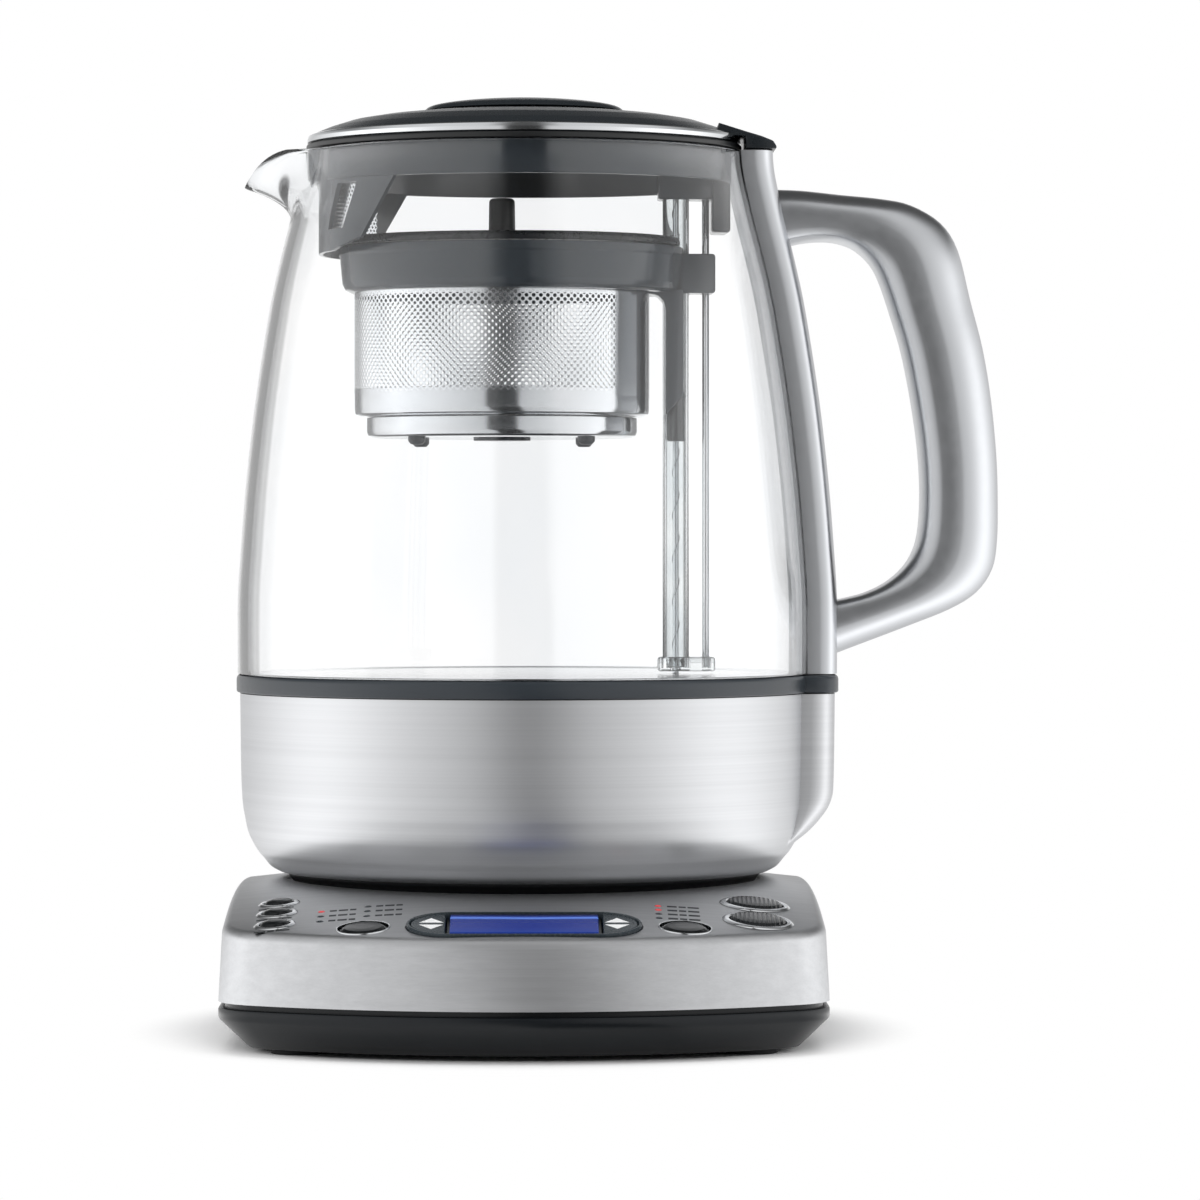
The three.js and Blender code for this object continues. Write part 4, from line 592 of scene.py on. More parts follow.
# Polycarbonate light guides, unlit and lit red.
unlit_lamp = speckled("polycarbonate_dark", "#2b3136", (0.12, 0.2), 1, 0.02, IOR=1.58)
red_lamp = speckled(
    "polycarbonate_red", "#b8353a", (0.12, 0.2), 1, 0.02, IOR=1.58,
    Emission_Color=linear("#d8474a"), Emission_Strength=0.25,
)
# Borosilicate glass: clear, faintly grey where the wall is seen along its length.
borosilicate = clear_glass("borosilicate_glass", ("#fbfcfd", "#fefefe"), 1.47, (0.0, 0.004), 40)
# Polysulfone tube of the lift: clear with a grey cast.
clear_tube = clear_glass("polysulfone_clear", ("#eceff0", "#f4f6f6"), 1.5, (0.02, 0.05), 12)


def ribbed_key():
    """The same acrylic with fine ribs moulded across the two large caps, so that they glint in lines."""
    rib_unit = 1.2
    material, tree, shader = new_material(
        "acrylic_key_ribbed", Base_Color=linear("#111417"), IOR=1.5, Specular_IOR_Level=0.3
    )
    ribs = add_node(
        tree, "TexWave", {"Vector": object_pattern(tree, (rib_unit,) * 3), "Scale": 0.314},
        bands_direction="X",
    )
    textured(tree, shader, ribs.outputs["Fac"], (0.3, 0.18), 0.7, 0.3)
    return material


def display_glass():
    """A backlit blue display under a clear window: a dark far edge, a lighter line painted in as a highlight,
    then even blue.
    """
    material, tree, shader = new_material(
        "lit_display_window", Roughness=0.25, IOR=1.49, Specular_IOR_Level=0.15, Emission_Strength=0.35
    )
    place = add_node(tree, "TexCoord")
    parts = add_node(tree, "SeparateXYZ", {"Vector": place.outputs["Object"]})
    window = jug_axis.y * 1000 + display_y - lens_depth / 2
    along = add_node(tree, "MapRange", {
        "Value": parts.outputs["Y"], "From Min": window / 1000, "From Max": (window + lens_depth) / 1000,
    })
    cloud = clouded(tree, (1000 / 60, 50, 50), 1.0)
    drift = add_node(tree, "Math", {0: cloud, 1: 0.05, 2: along}, operation="MULTIPLY_ADD")
    # The lighter stop at 0.78 is a painted highlight, and the emission makes it glow too.
    blue = colour_ramp(tree, drift, [
        (0.0, "#1b327c"), (0.3, "#142672"), (0.7, "#152874"), (0.78, "#5c80d6"), (0.86, "#1a3182"),
        (0.94, "#080f2c"),
    ])
    set_sockets(tree, shader, {"Base Color": blue, "Emission Color": blue})
    return material


ribbed_plastic = ribbed_key()
lit_display = display_glass()


# Power base


def arc(centre, radius, start, end, count):
    points = [polar(radius, start + (end - start) * i / count) for i in range(count)]
    return [(centre[0] + x, centre[1] + y) for x, y in points]


def base_outline(inset):
    """The base from above: bowed front and back, straight sides and round corners."""
    front_y = base_front_radius - base_front_reach
    back_y = base_back_reach - base_back_radius
    front_x = base_half_width - base_front_corner
    back_x = base_half_width - base_back_corner
    front_turn = asin(front_x / (base_front_radius - base_front_corner))
    back_turn = asin(back_x / (base_back_radius - base_back_corner))
    front_corner_y = front_y - (base_front_radius - base_front_corner) * cos(front_turn)
    back_corner_y = back_y + (base_back_radius - base_back_corner) * cos(back_turn)
    front, back = base_front_corner - inset, base_back_corner - inset
    side = base_half_width - inset
    length = back_corner_y - front_corner_y
    return (
        arc((0, front_y), base_front_radius - inset, -quarter - front_turn, -quarter + front_turn, 40)
        + arc((front_x, front_corner_y), front, -quarter + front_turn, 0, 12)
        + [(side, front_corner_y + length * i / 12) for i in range(12)]
        + arc((back_x, back_corner_y), back, 0, quarter - back_turn, 12)
        + arc((0, back_y), base_back_radius - inset, quarter - back_turn, quarter + back_turn, 24)
        + arc((-back_x, back_corner_y), back, quarter + back_turn, pi, 12)
        + [(-side, back_corner_y - length * i / 12) for i in range(12)]
        + arc((-front_x, front_corner_y), front, pi, 3 * quarter - front_turn, 12)
    )


def level(outline, height):
    return [(x, y, height) for x, y in outline]


def crown(x, y):
    return crown_height - y * y / (2 * crown_depth_radius) - x * x / (2 * crown_width_radius)


def panel_place(x, y):
    """The frame on the panel at a point, its Z along the surface's normal."""
    normal = Vector((x / crown_width_radius, y / crown_depth_radius, 1)).normalized()
    across = Vector((1, 0, 0)) - normal * normal.x
    across.normalize()
    along = normal.cross(across)
    turn = Matrix((across, along, normal)).transposed().to_4x4()
    return Matrix.Translation((x, y, crown(x, y))) @ turn


def pill(length, depth, count=16):
    """The outline of a bar with round ends."""
    radius = depth / 2
    straight = length / 2 - radius
    bend = [polar(radius, -quarter + pi * i / count) for i in range(count + 1)]
    right = [(straight + x, y) for x, y in bend]
    return right + [(-x, -y) for x, y in right]


def steel_shell():
    """The domed steel skin with its round shoulder and the seat that takes the jug."""
    rings = [level(base_outline(0), shell_bottom)]
    for share in (0.3, 0.6, 0.85):
        rings.append([
            (x, y, shell_bottom + (crown(x, y) - shoulder_radius - shell_bottom) * share)
            for x, y in base_outline(wall_draft * share)
        ])
    steps = 8
    for i in range(steps + 1):
        turn = quarter * i / steps
        inset = wall_draft + shoulder_radius * (1 - cos(turn))
        drop = shoulder_radius * (1 - sin(turn))
        rings.append([(x, y, crown(x, y) - drop) for x, y in base_outline(inset)])
    edge = base_outline(wall_draft + shoulder_radius)
    seat = [polar(1, atan2(y, x)) for x, y in edge]
    reach = seat_radius + seat_edge
    for share in (0.12, 0.25, 0.4, 0.55, 0.7, 0.85, 1.0):
        flat = [
            (x + (a * reach - x) * share, y + (b * reach - y) * share) for (x, y), (a, b) in zip(edge, seat)
        ]
        rings.append([(x, y, crown(x, y)) for x, y in flat])
    for turn in map(radians, (30, 60, 90)):
        radius = reach - seat_edge * sin(turn)
        drop = seat_edge * (1 - cos(turn))
        rings.append([
            (a * radius, b * radius, crown(a * seat_radius, b * seat_radius) - drop) for a, b in seat
        ])
    for radius, height in ((seat_radius, seat_height + 0.6), (seat_radius - 0.6, seat_height),
                           (45, seat_height), (socket_opening, seat_height)):
        rings.append([(a * radius, b * radius, height) for a, b in seat])
    return skinned(rings, capped=False)


def panel_hole(x, y, radius, steps=48):
    return placed(upright(radius, *hole_reach, steps), panel_place(x, y))


def build_base():
    window = sunk_outline(pill(display_length + 0.6, display_depth + 0.6), *hole_reach)
    holes = [placed(window, panel_place(0, display_y))]
    for group, radius in (
        (small_keys, small_cap + 1.2), (middle_keys, middle_cap + 1.1), (large_keys, large_cap + 1.3),
    ):
        holes += [panel_hole(x, y, radius) for x, y in group.values()]
    holes += [panel_hole(x, y, light_radius + 0.15, 16) for x, y in left_lights + right_lights]
    inlet = Matrix.Translation((0, base_back_reach, inlet_height)) @ Matrix.Rotation(quarter, 4, "X")
    holes.append(placed(upright(inlet_radius, -15, 15, 32), inlet))
    shell = bored(steel_shell(), *holes, wall=shell_wall)
    finished("steel_shell", shell, "power_base", shade_darkened_base_steel, "base_shell", crease=30)

    tray = [level(base_outline(inset), height) for inset, height in (
        (tray_chamfer + 0.6, tray_bottom), (tray_chamfer, tray_bottom + 0.25),
        (0.35, tray_bottom + tray_chamfer - 0.5), (0, tray_bottom + tray_chamfer + 0.3),
        (0, tray_top - 0.6), (0.2, tray_top - 0.15), (0.7, tray_top), (shadow_inset, tray_top),
        (shadow_inset, tray_top + shadow_height), (4.3, tray_top + shadow_height),
    )]
    finished("lower_tray", skinned(tray), "power_base", tray_plastic, "base_tray")

    for corner in ("front_left", "front_right", "back_left", "back_right"):
        low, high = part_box(f"foot_{corner}")
        middle = (low + high) / 2 - jug_axis
        turned(f"rubber_foot_{corner}", "power_base", rubber, f"foot_{corner}", sleeve(0, 7, 0, 2.2), 48, 0.5,
               place=Matrix.Translation((middle.x * 1000, middle.y * 1000, 0)))
        nodes[f"tray_screw_{corner}"].data.materials[0] = polished_steel
    nodes["control_board"].data.materials[0] = board_lacquer

    turned("cord_gland_ring", "power_base", rubber, "cord_gland",
           [(3.6, 0), (5, 0), (5, 11), (7, 11), (7, 13), (3.6, 13)], 64, 0.35,
           place=Matrix.Translation((0, 78.6, inlet_height)) @ Matrix.Rotation(-quarter, 4, "X"))
    turned("connector_boss", "power_base", black_plastic, "power_connector",
           [(0, 35.7), (22, 35.7), (22, 38.2), (18, 38.2), (18, 42.7), (17.2, 43.5), (11.5, 43.5),
            (11.5, 39.5), (9.1, 39.5), (9.1, 43.5), (4.6, 43.5), (4.6, 39.5), (0, 39.5)], 96, 0.25)
    turned("contact_band", "power_base", contact_brass, "contact_ring",
           sleeve(9.4, 11.2, 39.8, 42.5), 96, 0.2)
    turned("contact_post", "power_base", contact_brass, "contact_pin", sleeve(0, 2, 39.8, 45.5), 32, 0.6)


def build_display():
    place = panel_place(0, display_y)
    rings = [level(pill(display_length - inset, display_depth - inset, 24), height) for inset, height in (
        (0, -6), (0, 0.1), (0.5, display_proud), (1.5, display_proud), (1.8, 0.1), (1.8, -3.5),
    )]
    finished("display_surround", skinned(rings), "power_base", rocker_plastic, "display_carrier", place=place)
    bed = rounded_block((-20.4, -10.8, -4), (20.4, 10.8, -1.2), 0.2)
    finished("display_bed", bed, "power_base", black_plastic, place=place, slot="key_plastic")
    lens = rounded_block((-lens_width / 2, -lens_depth / 2, -1), (lens_width / 2, lens_depth / 2, 0.4), 0.35)
    finished("display_window", lens, "power_base", lit_display, "display_lens", place=place)
    key_inset = 1.2
    key = pill(display_length - 2 * key_inset, display_depth - 2 * key_inset, 24)
    half = display_depth / 2 - key_inset
    for name, side in (("temperature", -1), ("time", 1)):
        near = (rocker_start + 0.2) * side
        points = [(x, y) for x, y in key if x * side > rocker_start]
        points = [(near, -half * side)] + points + [(near, half * side)]
        finished(f"{name}_key", sunk_outline(points, -2.8, 0.2, 0.3), f"{name}_key", rocker_plastic,
                 f"{name}_rocker", place=place)
        middle = 24.4 * side
        arrows = []
        for way in (-1, 1):
            corners = [(middle - 3.2, way * 1.1), (middle + 3.2, way * 1.1), (middle, way * 5.6)]
            arrows.append(sunk_outline(corners[::way], 0.1, 0.24))
        finished(f"{name}_arrows", merged(*arrows), f"{name}_key", arrow_ink, place=place)


def build_keys():
    """Caps with the flange that holds them, each in its rim. A cap is given by its flange, its foot,
    the top of its side, two points of its crown as shares of its radius with heights, and its top."""
    for keys, radius, material, (flange, foot, side, outer, inner, top), rim, steps, rounding in (
        (small_keys, small_cap, key_plastic, (5.5, -4.7, 0.3, (0.8, 1.0), (0.45, 1.3), 1.4),
         [(4.2, -3.2), (4.9, -3.2), (4.9, 0.02), (5.7, 0.02), (5.1, 0.42), (4.45, 0.5), (4.2, 0.3)], 64, 0.1),
        (middle_keys, middle_cap, key_plastic, (7.5, -3.0, -0.1, (0.85, 0.42), (0.5, 0.58), 0.6),
         [(6.75, -1.3), (6.9, -1.3), (7.2, 0.05), (7.05, 0.3), (6.8, 0.25)], 64, 0.05),
        (large_keys, large_cap, ribbed_plastic, (9.1, -4.7, 0.6, (0.9, 1.1), (0.55, 1.35), 1.4),
         [(7.7, -3.2), (8.5, -3.2), (8.5, 0.02), (9.6, 0.02), (8.9, 0.5), (8.0, 0.6), (7.7, 0.35)], 96, 0.12),
    ):
        cap = [(0, foot), (flange, foot), (flange, foot + flange_height), (radius, foot + flange_height),
               (radius, side), (radius * outer[0], outer[1]), (radius * inner[0], inner[1]), (0, top)]
        for name, (x, y) in keys.items():
            place = panel_place(x, y)
            turned(f"{name}_cap", f"{name}_key", material, f"{name}_button", cap, 64, 0.12, place=place)
            bezel = None if keys is middle_keys else f"{name}_bezel"
            turned(f"{name}_rim", "power_base", chrome_plate, bezel, rim, steps, rounding, place=place)


def lamp(x, y):
    dome = spun([(0, -2), (light_radius, -2), (light_radius, 0.0), (light_radius * 0.7, 0.18), (0, 0.25)], 24)
    return placed(dome, panel_place(x, y))


def dashes(x, y, lengths, height=1.7):
    """A row of short printed dashes that starts at a point on the panel."""
    gap = 0.5
    shapes = []
    for length in lengths:
        dash = rounded_block((0, -height / 2, -0.02), (length, height / 2, 0.03), 0.015, 1)
        shapes.append(placed(dash, panel_place(x, y)))
        x += length + gap
    return shapes


def build_lights_and_marks():
    lit = [left_lights[2], right_lights[3], right_lights[2]]
    for side, lights, centre, across, along in (
        ("left", left_lights, (-47.85, -84.9), 7.6, 8.6), ("right", right_lights, (35.7, -86.2), 1.6, 8.7),
    ):
        strip = rounded_block((-across, -along, -3.4), (across, along, -1.9), 0.3)
        placed(strip, panel_place(*centre))
        dots = [lamp(x, y) for x, y in lights if (x, y) not in lit]
        finished(f"{side}_lamps", merged(strip, *dots), "power_base", unlit_lamp, f"{side}_light_guide")
    finished("red_lamps", merged(*[lamp(x, y) for x, y in lit]), "power_base", red_lamp)
    marks = []
    for x, y in left_lights:
        marks += dashes(x + 2.2, y, (1.9, 2.5, 1.7))
    for x, y in right_lights:
        marks += dashes(x + 2.4, y, (2.6, 1.9, 3.0))
    for x, y in small_keys.values():
        marks += dashes(x - 5.2, y - 6.6, (3.0, 1.8, 3.6), 1.3)
    finished("panel_marks", merged(*marks), "power_base", print_ink)


# Jug


def squared(turn, power):
    """Cosine and sine of an angle, both raised to a power, which makes a round corner squarer."""
    return [copysign(abs(part) ** power, part) for part in (cos(turn), sin(turn))]


def lobed_ring(radius, inset, lobe, height, count=144, lobe_count=40):
    """A circle with a rounded lobe towards the handle, moved inwards by the inset."""
    round_radius = radius - inset
    half_width = lobe_half_width - inset
    half_angle = asin(half_width / round_radius)
    ring = []
    for i in range(count):
        ring.append((*polar(round_radius, half_angle + (2 * pi - 2 * half_angle) * i / count), height))
    start = round_radius * cos(half_angle)
    for i in range(lobe_count):
        turn = -quarter + pi * i / lobe_count
        angle = half_angle * sin(turn)
        bulge = sqrt(abs(cos(turn)))
        side = copysign(sqrt(abs(sin(turn))), sin(turn))
        full = (start + (round_radius + lobe_reach - start) * bulge, half_width * side)
        plain = polar(round_radius, angle)
        ring.append((*(a + (b - a) * lobe for a, b in zip(plain, full)), height))
    return ring


def skirt_ring(share, radius, inset):
    """The skirt at a share of its height, where the lobe grows out of the round lower edge."""
    rise = min(max((share - 0.16) / 0.3, 0), 1)
    return lobed_ring(skirt_radius * radius, inset, sin(quarter * rise), skirt_bottom + skirt_height * share)


def build_jug_body():
    outside = [skirt_ring(share, radius, 0) for share, radius in smooth_table(skirt_shares, 5)]
    inside = [skirt_ring(share, radius, skirt_wall) for share, radius in skirt_shares]
    finished("steel_jug_skirt", skinned(outside + inside[::-1], tunnel=True), "jug", jug_steel, "steel_skirt",
             crease=50)

    hidden = seal_bottom - 1.8
    bore = glass_radius - glass_wall
    rings = [lobed_ring(skirt_radius + 1, inset, 1, height) for inset, height in (
        (2.3, hidden), (2.3, seal_bottom), (0.4, seal_bottom), (0.1, seal_bottom + 0.2),
        (0, seal_bottom + 0.6), (0, seal_top - 1.2), (0.15, seal_top - 0.6), (0.5, seal_top - 0.15),
        (1.0, seal_top),
    )]
    rings += [lobed_ring(radius, 0, 0, height) for radius, height in (
        (bore, seal_top), (bore, seal_top - 2), (bore - 2.2, seal_top - 2), (bore - 2.2, hidden),
    )]
    finished("seal_band", skinned(rings, tunnel=True), "jug", seal_plastic, "seal_ring")

    turned("jug_foot_plate", "jug", black_plastic, "jug_foot",
           [(20.8, foot_bottom), (62.4, foot_bottom), (foot_radius, foot_bottom + 0.5), (foot_edge, foot_top),
            (foot_edge, foot_top + 3), (64.0, foot_top + 3), (64.0, foot_bottom + 2.4),
            (20.8, foot_bottom + 2.4)], rounding=0.3)
    turned("contact_cup", "jug", black_plastic, "jug_socket",
           [(0, 47.7), (18.3, 47.7), (18.3, foot_bottom), (20.5, foot_bottom), (20.5, 43), (24.5, 43),
            (24.5, 44.6), (20.5, 44.6), (20.5, 49.3), (0, 49.3)], 96, 0.3)
    plate = spun([(0, 96.9), (76.6, 96.9), (76.6, 99.1), (72, 99.1), (70, 98.7), (0, 98.7)], 160, 0.3)
    plate = bored(plate, upright(screw_radius + screw_room, 90, 110, 24, tower_x))
    finished("heater_disc", plate, "jug", polished_steel, "heater_plate")
    nodes["heating_element"].data.materials[0] = satin_cast
    nodes["lift_motor"].data.materials[0] = magnet_coating


def spout_bulge(angle):
    away = abs(angle % (2 * pi) - pi)
    return cos(quarter * away / spout_half_angle) ** 2 if away < spout_half_angle else 0


def glass_ring(height, radius, inset):
    """The glass at a share of its height, pulled out and down at the spout."""
    above = max(0, (height - spout_start) / (1 - spout_start))
    half = spout_half_angle
    angles = [pi - half + 2 * half * i / 48 for i in range(48)]
    angles += [pi + half + (2 * pi - 2 * half) * i / 120 for i in range(120)]
    ring = []
    for angle in angles:
        bulge = spout_bulge(angle)
        reach = glass_radius * radius + spout_reach * bulge * above**2 - inset
        z = glass_bottom + glass_height * height - spout_drop * bulge**spout_drop_power * above
        ring.append((*polar(reach, angle), z))
    return ring


def build_glass():
    table = smooth_table(glass_shares, 5)
    neck = table[-1][1]
    outside = [glass_ring(height, radius, 0) for height, radius in table]
    inside = [glass_ring(height, radius, glass_wall) for height, radius in table][::-1]
    lip = [glass_ring(1.003, neck, 0.5), glass_ring(1.003, neck, glass_wall - 0.5)]
    lip = [[(x, y, min(z, rim_height)) for x, y, z in ring] for ring in lip]
    outside[-1] = glass_ring(0.9975, neck, 0)
    inside[0] = glass_ring(0.9975, neck, glass_wall)
    wall = skinned(outside + lip + inside, tunnel=True)
    finished("glass_jug", wall, "jug", borosilicate, "jug_glass", crease=60)


def spine_ring(share, radius):
    """The strip's section: rounded outside and hollowed to the glass."""
    height = glass_bottom + glass_height * share
    near = glass_radius * radius + spine_gap
    side = sqrt(near**2 - spine_half_width**2)
    depth = near + spine_thickness - side
    ring = []
    for i in range(33):
        out, across = squared(-quarter + pi * i / 32, spine_power)
        ring.append((side + depth * abs(out), spine_half_width * across, height))
    near_angle = asin(spine_half_width / near)
    for i in range(15):
        ring.append((*polar(near, near_angle * (1 - 2 * (i + 1) / 16)), height))
    return ring


def handle_section(outer, inner, count=32):
    """The handle's section between an outer and an inner point, squarer on the side of the fingers."""
    bow = handle_reach - handle_root
    outer, inner = (
        Vector((handle_root + x * bow, 0, glass_bottom + z * handle_height)) for x, z in (outer, inner)
    )
    ring = []
    for i in range(count):
        turn = 2 * pi * i / count
        squareness = handle_inner_squareness if cos(turn) < 0 else handle_outer_squareness
        along, aside = squared(turn, 2 / squareness)
        point = (outer + inner) / 2 + (outer - inner) / 2 * along
        ring.append((point.x, aside * handle_half_depth, point.z))
    return ring


def build_handle():
    spine = [spine_ring(share, radius) for share, radius in smooth_table(glass_shares, 3)]
    finished("handle_strip", skinned(spine), "jug", satin_cast, "handle_spine")
    outer, inner = (smooth_table(line, 4) for line in zip(*handle_shares))
    sections = [handle_section(*pair) for pair in zip(outer, inner)]
    finished("handle_bow", skinned(sections[::-1]), "jug", satin_cast, "handle", crease=60)


def build_tower():
    foot = bored(
        rounded_block((37.4, -5.2, 99.4), (53.5, 5.2, 103.4), 0.8),
        upright(tube_radius + 0.3, tube_bottom - 0.3, 110, 48, tower_x),
        upright(1.3, tube_bottom - 0.3, 110, 24, rod_x))
    foot = bored(foot, upright(screw_radius + screw_room, 95, 110, 24, tower_x))
    finished("tower_base", foot, "jug", clear_tube, "tower_foot")
    turned("clear_lift_tube", "jug", clear_tube, "lift_tube",
           sleeve(tube_radius - tube_wall, tube_radius, tube_bottom, tube_top), 64, 0.15, tower_x)
    turned("steel_guide_rod", "jug", polished_steel, "guide_rod", sleeve(0, 1, 100.7, 234.2), 32, 0.2, rod_x)
    core = spun(sleeve(0, screw_radius - 0.25, screw_bottom, 234.9), 24, 0.1, tower_x)
    thread = bmesh.new()
    points = [(screw_radius - 0.3, 0, -0.35), (screw_radius, 0, 0), (screw_radius - 0.3, 0, 0.35)]
    verts = [thread.verts.new(point) for point in points]
    for pair in zip(verts, verts[1:]):
        thread.edges.new(pair)
    around(thread, thread.verts[:] + thread.edges[:], 2 * pi * screw_turns, turn_steps * screw_turns,
           dvec=(0, 0, screw_lead / turn_steps))
    moved(thread, (tower_x, 0, 101))
    finished("steel_lift_screw", merged(core, thread), "screw", polished_steel, "lift_screw")
    low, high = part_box("magnet_follower")
    turned("magnet_ring", "follower", magnet_coating, "magnet_follower",
           sleeve(1.4, 2.5, low.z * 1000, high.z * 1000), 48, 0.25, tower_x)


# Basket


def pierced_cell(half_across, half_up, hole, sides):
    """One web of the sheet: a diamond with a hole in it, facing outwards along X."""
    bm = bmesh.new()
    outer, inner = [], []
    for i in range(sides):
        across, up = polar(1, 2 * pi * i / sides)
        scale = 1 / (abs(across) + abs(up))
        outer.append((0, half_across * scale * across, half_up * scale * up))
        inner.append((0, hole * across, hole * up))
    edges = []
    for points in (outer, inner):
        verts = [bm.verts.new(point) for point in points]
        edges += [bm.edges.new((verts[i], verts[(i + 1) % sides])) for i in range(sides)]
    bmesh.ops.bridge_loops(bm, edges=edges)
    return bm


def turned_by(bm, angle, verts):
    bmesh.ops.rotate(bm, cent=(0, 0, 0), matrix=Matrix.Rotation(angle, 3, "Z"), verts=verts)


def pierced_wall(cell, radius, columns, rows, half_up, bottom, start, end, x=0):
    """Repeats a cell round an arc and up in staggered rows."""
    step = (end - start) / columns
    moved(cell, (radius, 0, bottom))
    turned_by(cell, start, cell.verts[:])
    whole = cell.verts[:] + cell.edges[:] + cell.faces[:]
    around(cell, whole, step * (columns - 1), columns - 1, use_duplicate=True)
    base = cell.verts[:] + cell.edges[:] + cell.faces[:]
    for row in range(1, rows):
        verts = only(bmesh.types.BMVert, bmesh.ops.duplicate(cell, geom=base)["geom"])
        turned_by(cell, step / 2 * (row % 2), verts)
        moved(cell, (0, 0, half_up * row), verts)
    bmesh.ops.remove_doubles(cell, verts=cell.verts[:], dist=0.05)
    return moved(cell, (x, 0, 0))


def seam_plate():
    """The plain strip that closes the pierced sheet on the side of the tower."""
    bm = bmesh.new()
    lap = 0.03
    outer = basket_radius + 0.02
    verts = [bm.verts.new((radius, 0, z)) for radius, z in sleeve(basket_inner, outer, 176, 206)]
    edges = [bm.edges.new((verts[i], verts[(i + 1) % 4])) for i in range(4)]
    turned_by(bm, -seam_half_angle - lap, verts)
    around(bm, verts + edges, 2 * seam_half_angle + 2 * lap, 40)
    return moved(bm, (basket_x, 0, 0))


def build_basket():
    collar = spun(
        [(basket_radius + 0.3, collar_bottom), (44.6, collar_bottom), (46.6, collar_bottom + 0.9),
         (47.4, collar_bottom + 2.6), (48.0, 214.2), (48.0, 215.0), (collar_radius, 215.4),
         (collar_radius, collar_top), (46.6, collar_top), (basket_radius + 2, 213.5),
         (basket_radius + 0.3, 213.5)], 160, 0.25, collar_x)
    leg = side_profile(
        [(39.6, leg_bottom), (44.5, leg_bottom + 5.4), (44.5, collar_bottom + 4), (34.5, collar_bottom + 4),
         (34.5, collar_bottom), (37.4, collar_bottom - 0.6), (39.0, collar_bottom - 2.2),
         (39.6, collar_bottom - 4.5)], clip_half_width, 0.5)
    ear = rounded_block(
        (40, -clip_half_width, collar_bottom), (53.4, clip_half_width, collar_bottom + 11), 0.9)
    collar = bored(collar, upright(tube_bore, 200, 222, 48, tower_x))
    slot = rounded_block((tower_x, -tube_bore, 165), (56, tube_bore, collar_bottom), 0.05, 1)
    leg = bored(bored(leg, upright(tube_bore, 165, 214, 48, tower_x)), slot)
    ear = bored(ear, upright(tube_bore, 200, 222, 48, tower_x), upright(1.4, 200, 222, 24, rod_x))
    finished("basket_clip", merged(collar, leg, ear), "basket", basket_plastic, "basket_collar")

    coarser = 1
    arc_length = 2 * pi - 2 * seam_half_angle
    columns = round(pierced_columns / coarser * arc_length / (2 * pi))
    half_up = 1.0 * coarser
    rows = round((pierced_top - pierced_bottom) / half_up)
    start = seam_half_angle + arc_length / columns / 2
    cell = pierced_cell(basket_radius * arc_length / columns / 2, half_up, pierced_hole * coarser, 8)
    wall = pierced_wall(cell, basket_radius, columns, rows, half_up, pierced_bottom + half_up,
                        start, start + arc_length, basket_x)
    finished("pierced_basket_wall", wall, "basket", pierced_steel, turn=False)

    lip = spun([(40.8, 208), (basket_radius, 208), (basket_radius, 214.2), (42.9, 214.2), (42.9, 215),
                (40.8, 215)], 160, 0.15, basket_x)
    band = spun(
        [(33.4, basket_bottom), (39.8, basket_bottom), (41.2, basket_bottom + 0.7), (basket_radius, 172.6),
         (basket_radius, pierced_bottom + 1.2), (basket_inner, pierced_bottom + 1.2), (basket_inner, 172.8),
         (39.6, 171.2), (33.4, 171.1)], 160, 0.2, basket_x)
    upper = spun(sleeve(basket_inner, basket_radius, pierced_top - 0.2, 208.4), 160, x=basket_x)
    floor = spun([(0, 171.5), (34, 171.5), (34, 171.1), (0, 171.1)], 96, x=basket_x)
    bands = merged(lip, band, upper, seam_plate(), floor)
    finished("basket_bands", bands, "basket", polished_steel, "basket_mesh")

    turned("dish_pan", "basket", polished_steel, "basket_pan",
           [(0, pan_bottom), (36.4, pan_bottom), (37.6, pan_bottom + 0.5), (pan_radius, pan_bottom + 1.6),
            (pan_radius, pan_top), (37.2, pan_top), (37.2, pan_bottom + 2), (36, pan_bottom + 0.8),
            (0, pan_bottom + 0.8)], 160, 0.2, basket_x)
    feet = [spun(sleeve(0, 8, 163.9, pan_bottom + 0.3), 48, 0.2, basket_x)]
    for angle in (quarter * (i + 0.5) for i in range(4)):
        nub = [(0, 162.5), (1.6, 162.5), (2.4, 163.4), (2.4, pan_bottom + 0.3), (0, pan_bottom + 0.3)]
        nub = spun(nub, 32, 0.3)
        feet.append(moved(nub, (basket_x + nub_reach * cos(angle), nub_reach * sin(angle), 0)))
    finished("dish_feet", merged(*feet), "basket", seal_plastic, slot="basket_plastic")

    cover = spun([(0, 217.9), (collar_radius - 0.1, 217.9), (collar_radius - 0.1, 219.2), (47.2, 220.3),
                  (0, 220.3)], 160, 0.4, collar_x)
    tip = tower_x - (tube_radius + 1.1) / sin(notch_slope)
    half = (notch_reach - tip) * tan(notch_slope)
    cover = bored(cover, sunk_outline([(tip, 0), (notch_reach, -half), (notch_reach, half)], 210, 225))
    finished("basket_cover_disc", cover, "basket_cover", lid_plastic, "basket_lid")
    turned("basket_cover_peg", "basket_cover", black_plastic, "basket_lid_knob",
           [(0, 220.7), (3.75, 220.7), (3.6, 231.0), (2.9, 231.7), (0, 231.7)], 48, 0.4, basket_x)


# Jug lid


def bent_plate(inner, outer, low, high, steps=48, lift=0.0):
    """A wall bent round the axis. Its low and high edge each have a height, a middle and a half angle,
    and the low edge may rise by the lift towards both ends."""
    rings = []
    for i in range(steps + 1):
        along = 2 * i / steps - 1
        down = low[1] + low[2] * along
        up = high[1] + high[2] * along
        foot = low[0] + lift * max(0, abs(along) - 0.6) / 0.4
        rings.append([
            (*polar(radius, angle), height) for radius, angle, height in (
                (inner, down, foot), (inner, up, high[0]), (outer, up, high[0]), (outer, down, foot))
        ])
    return skinned(rings)


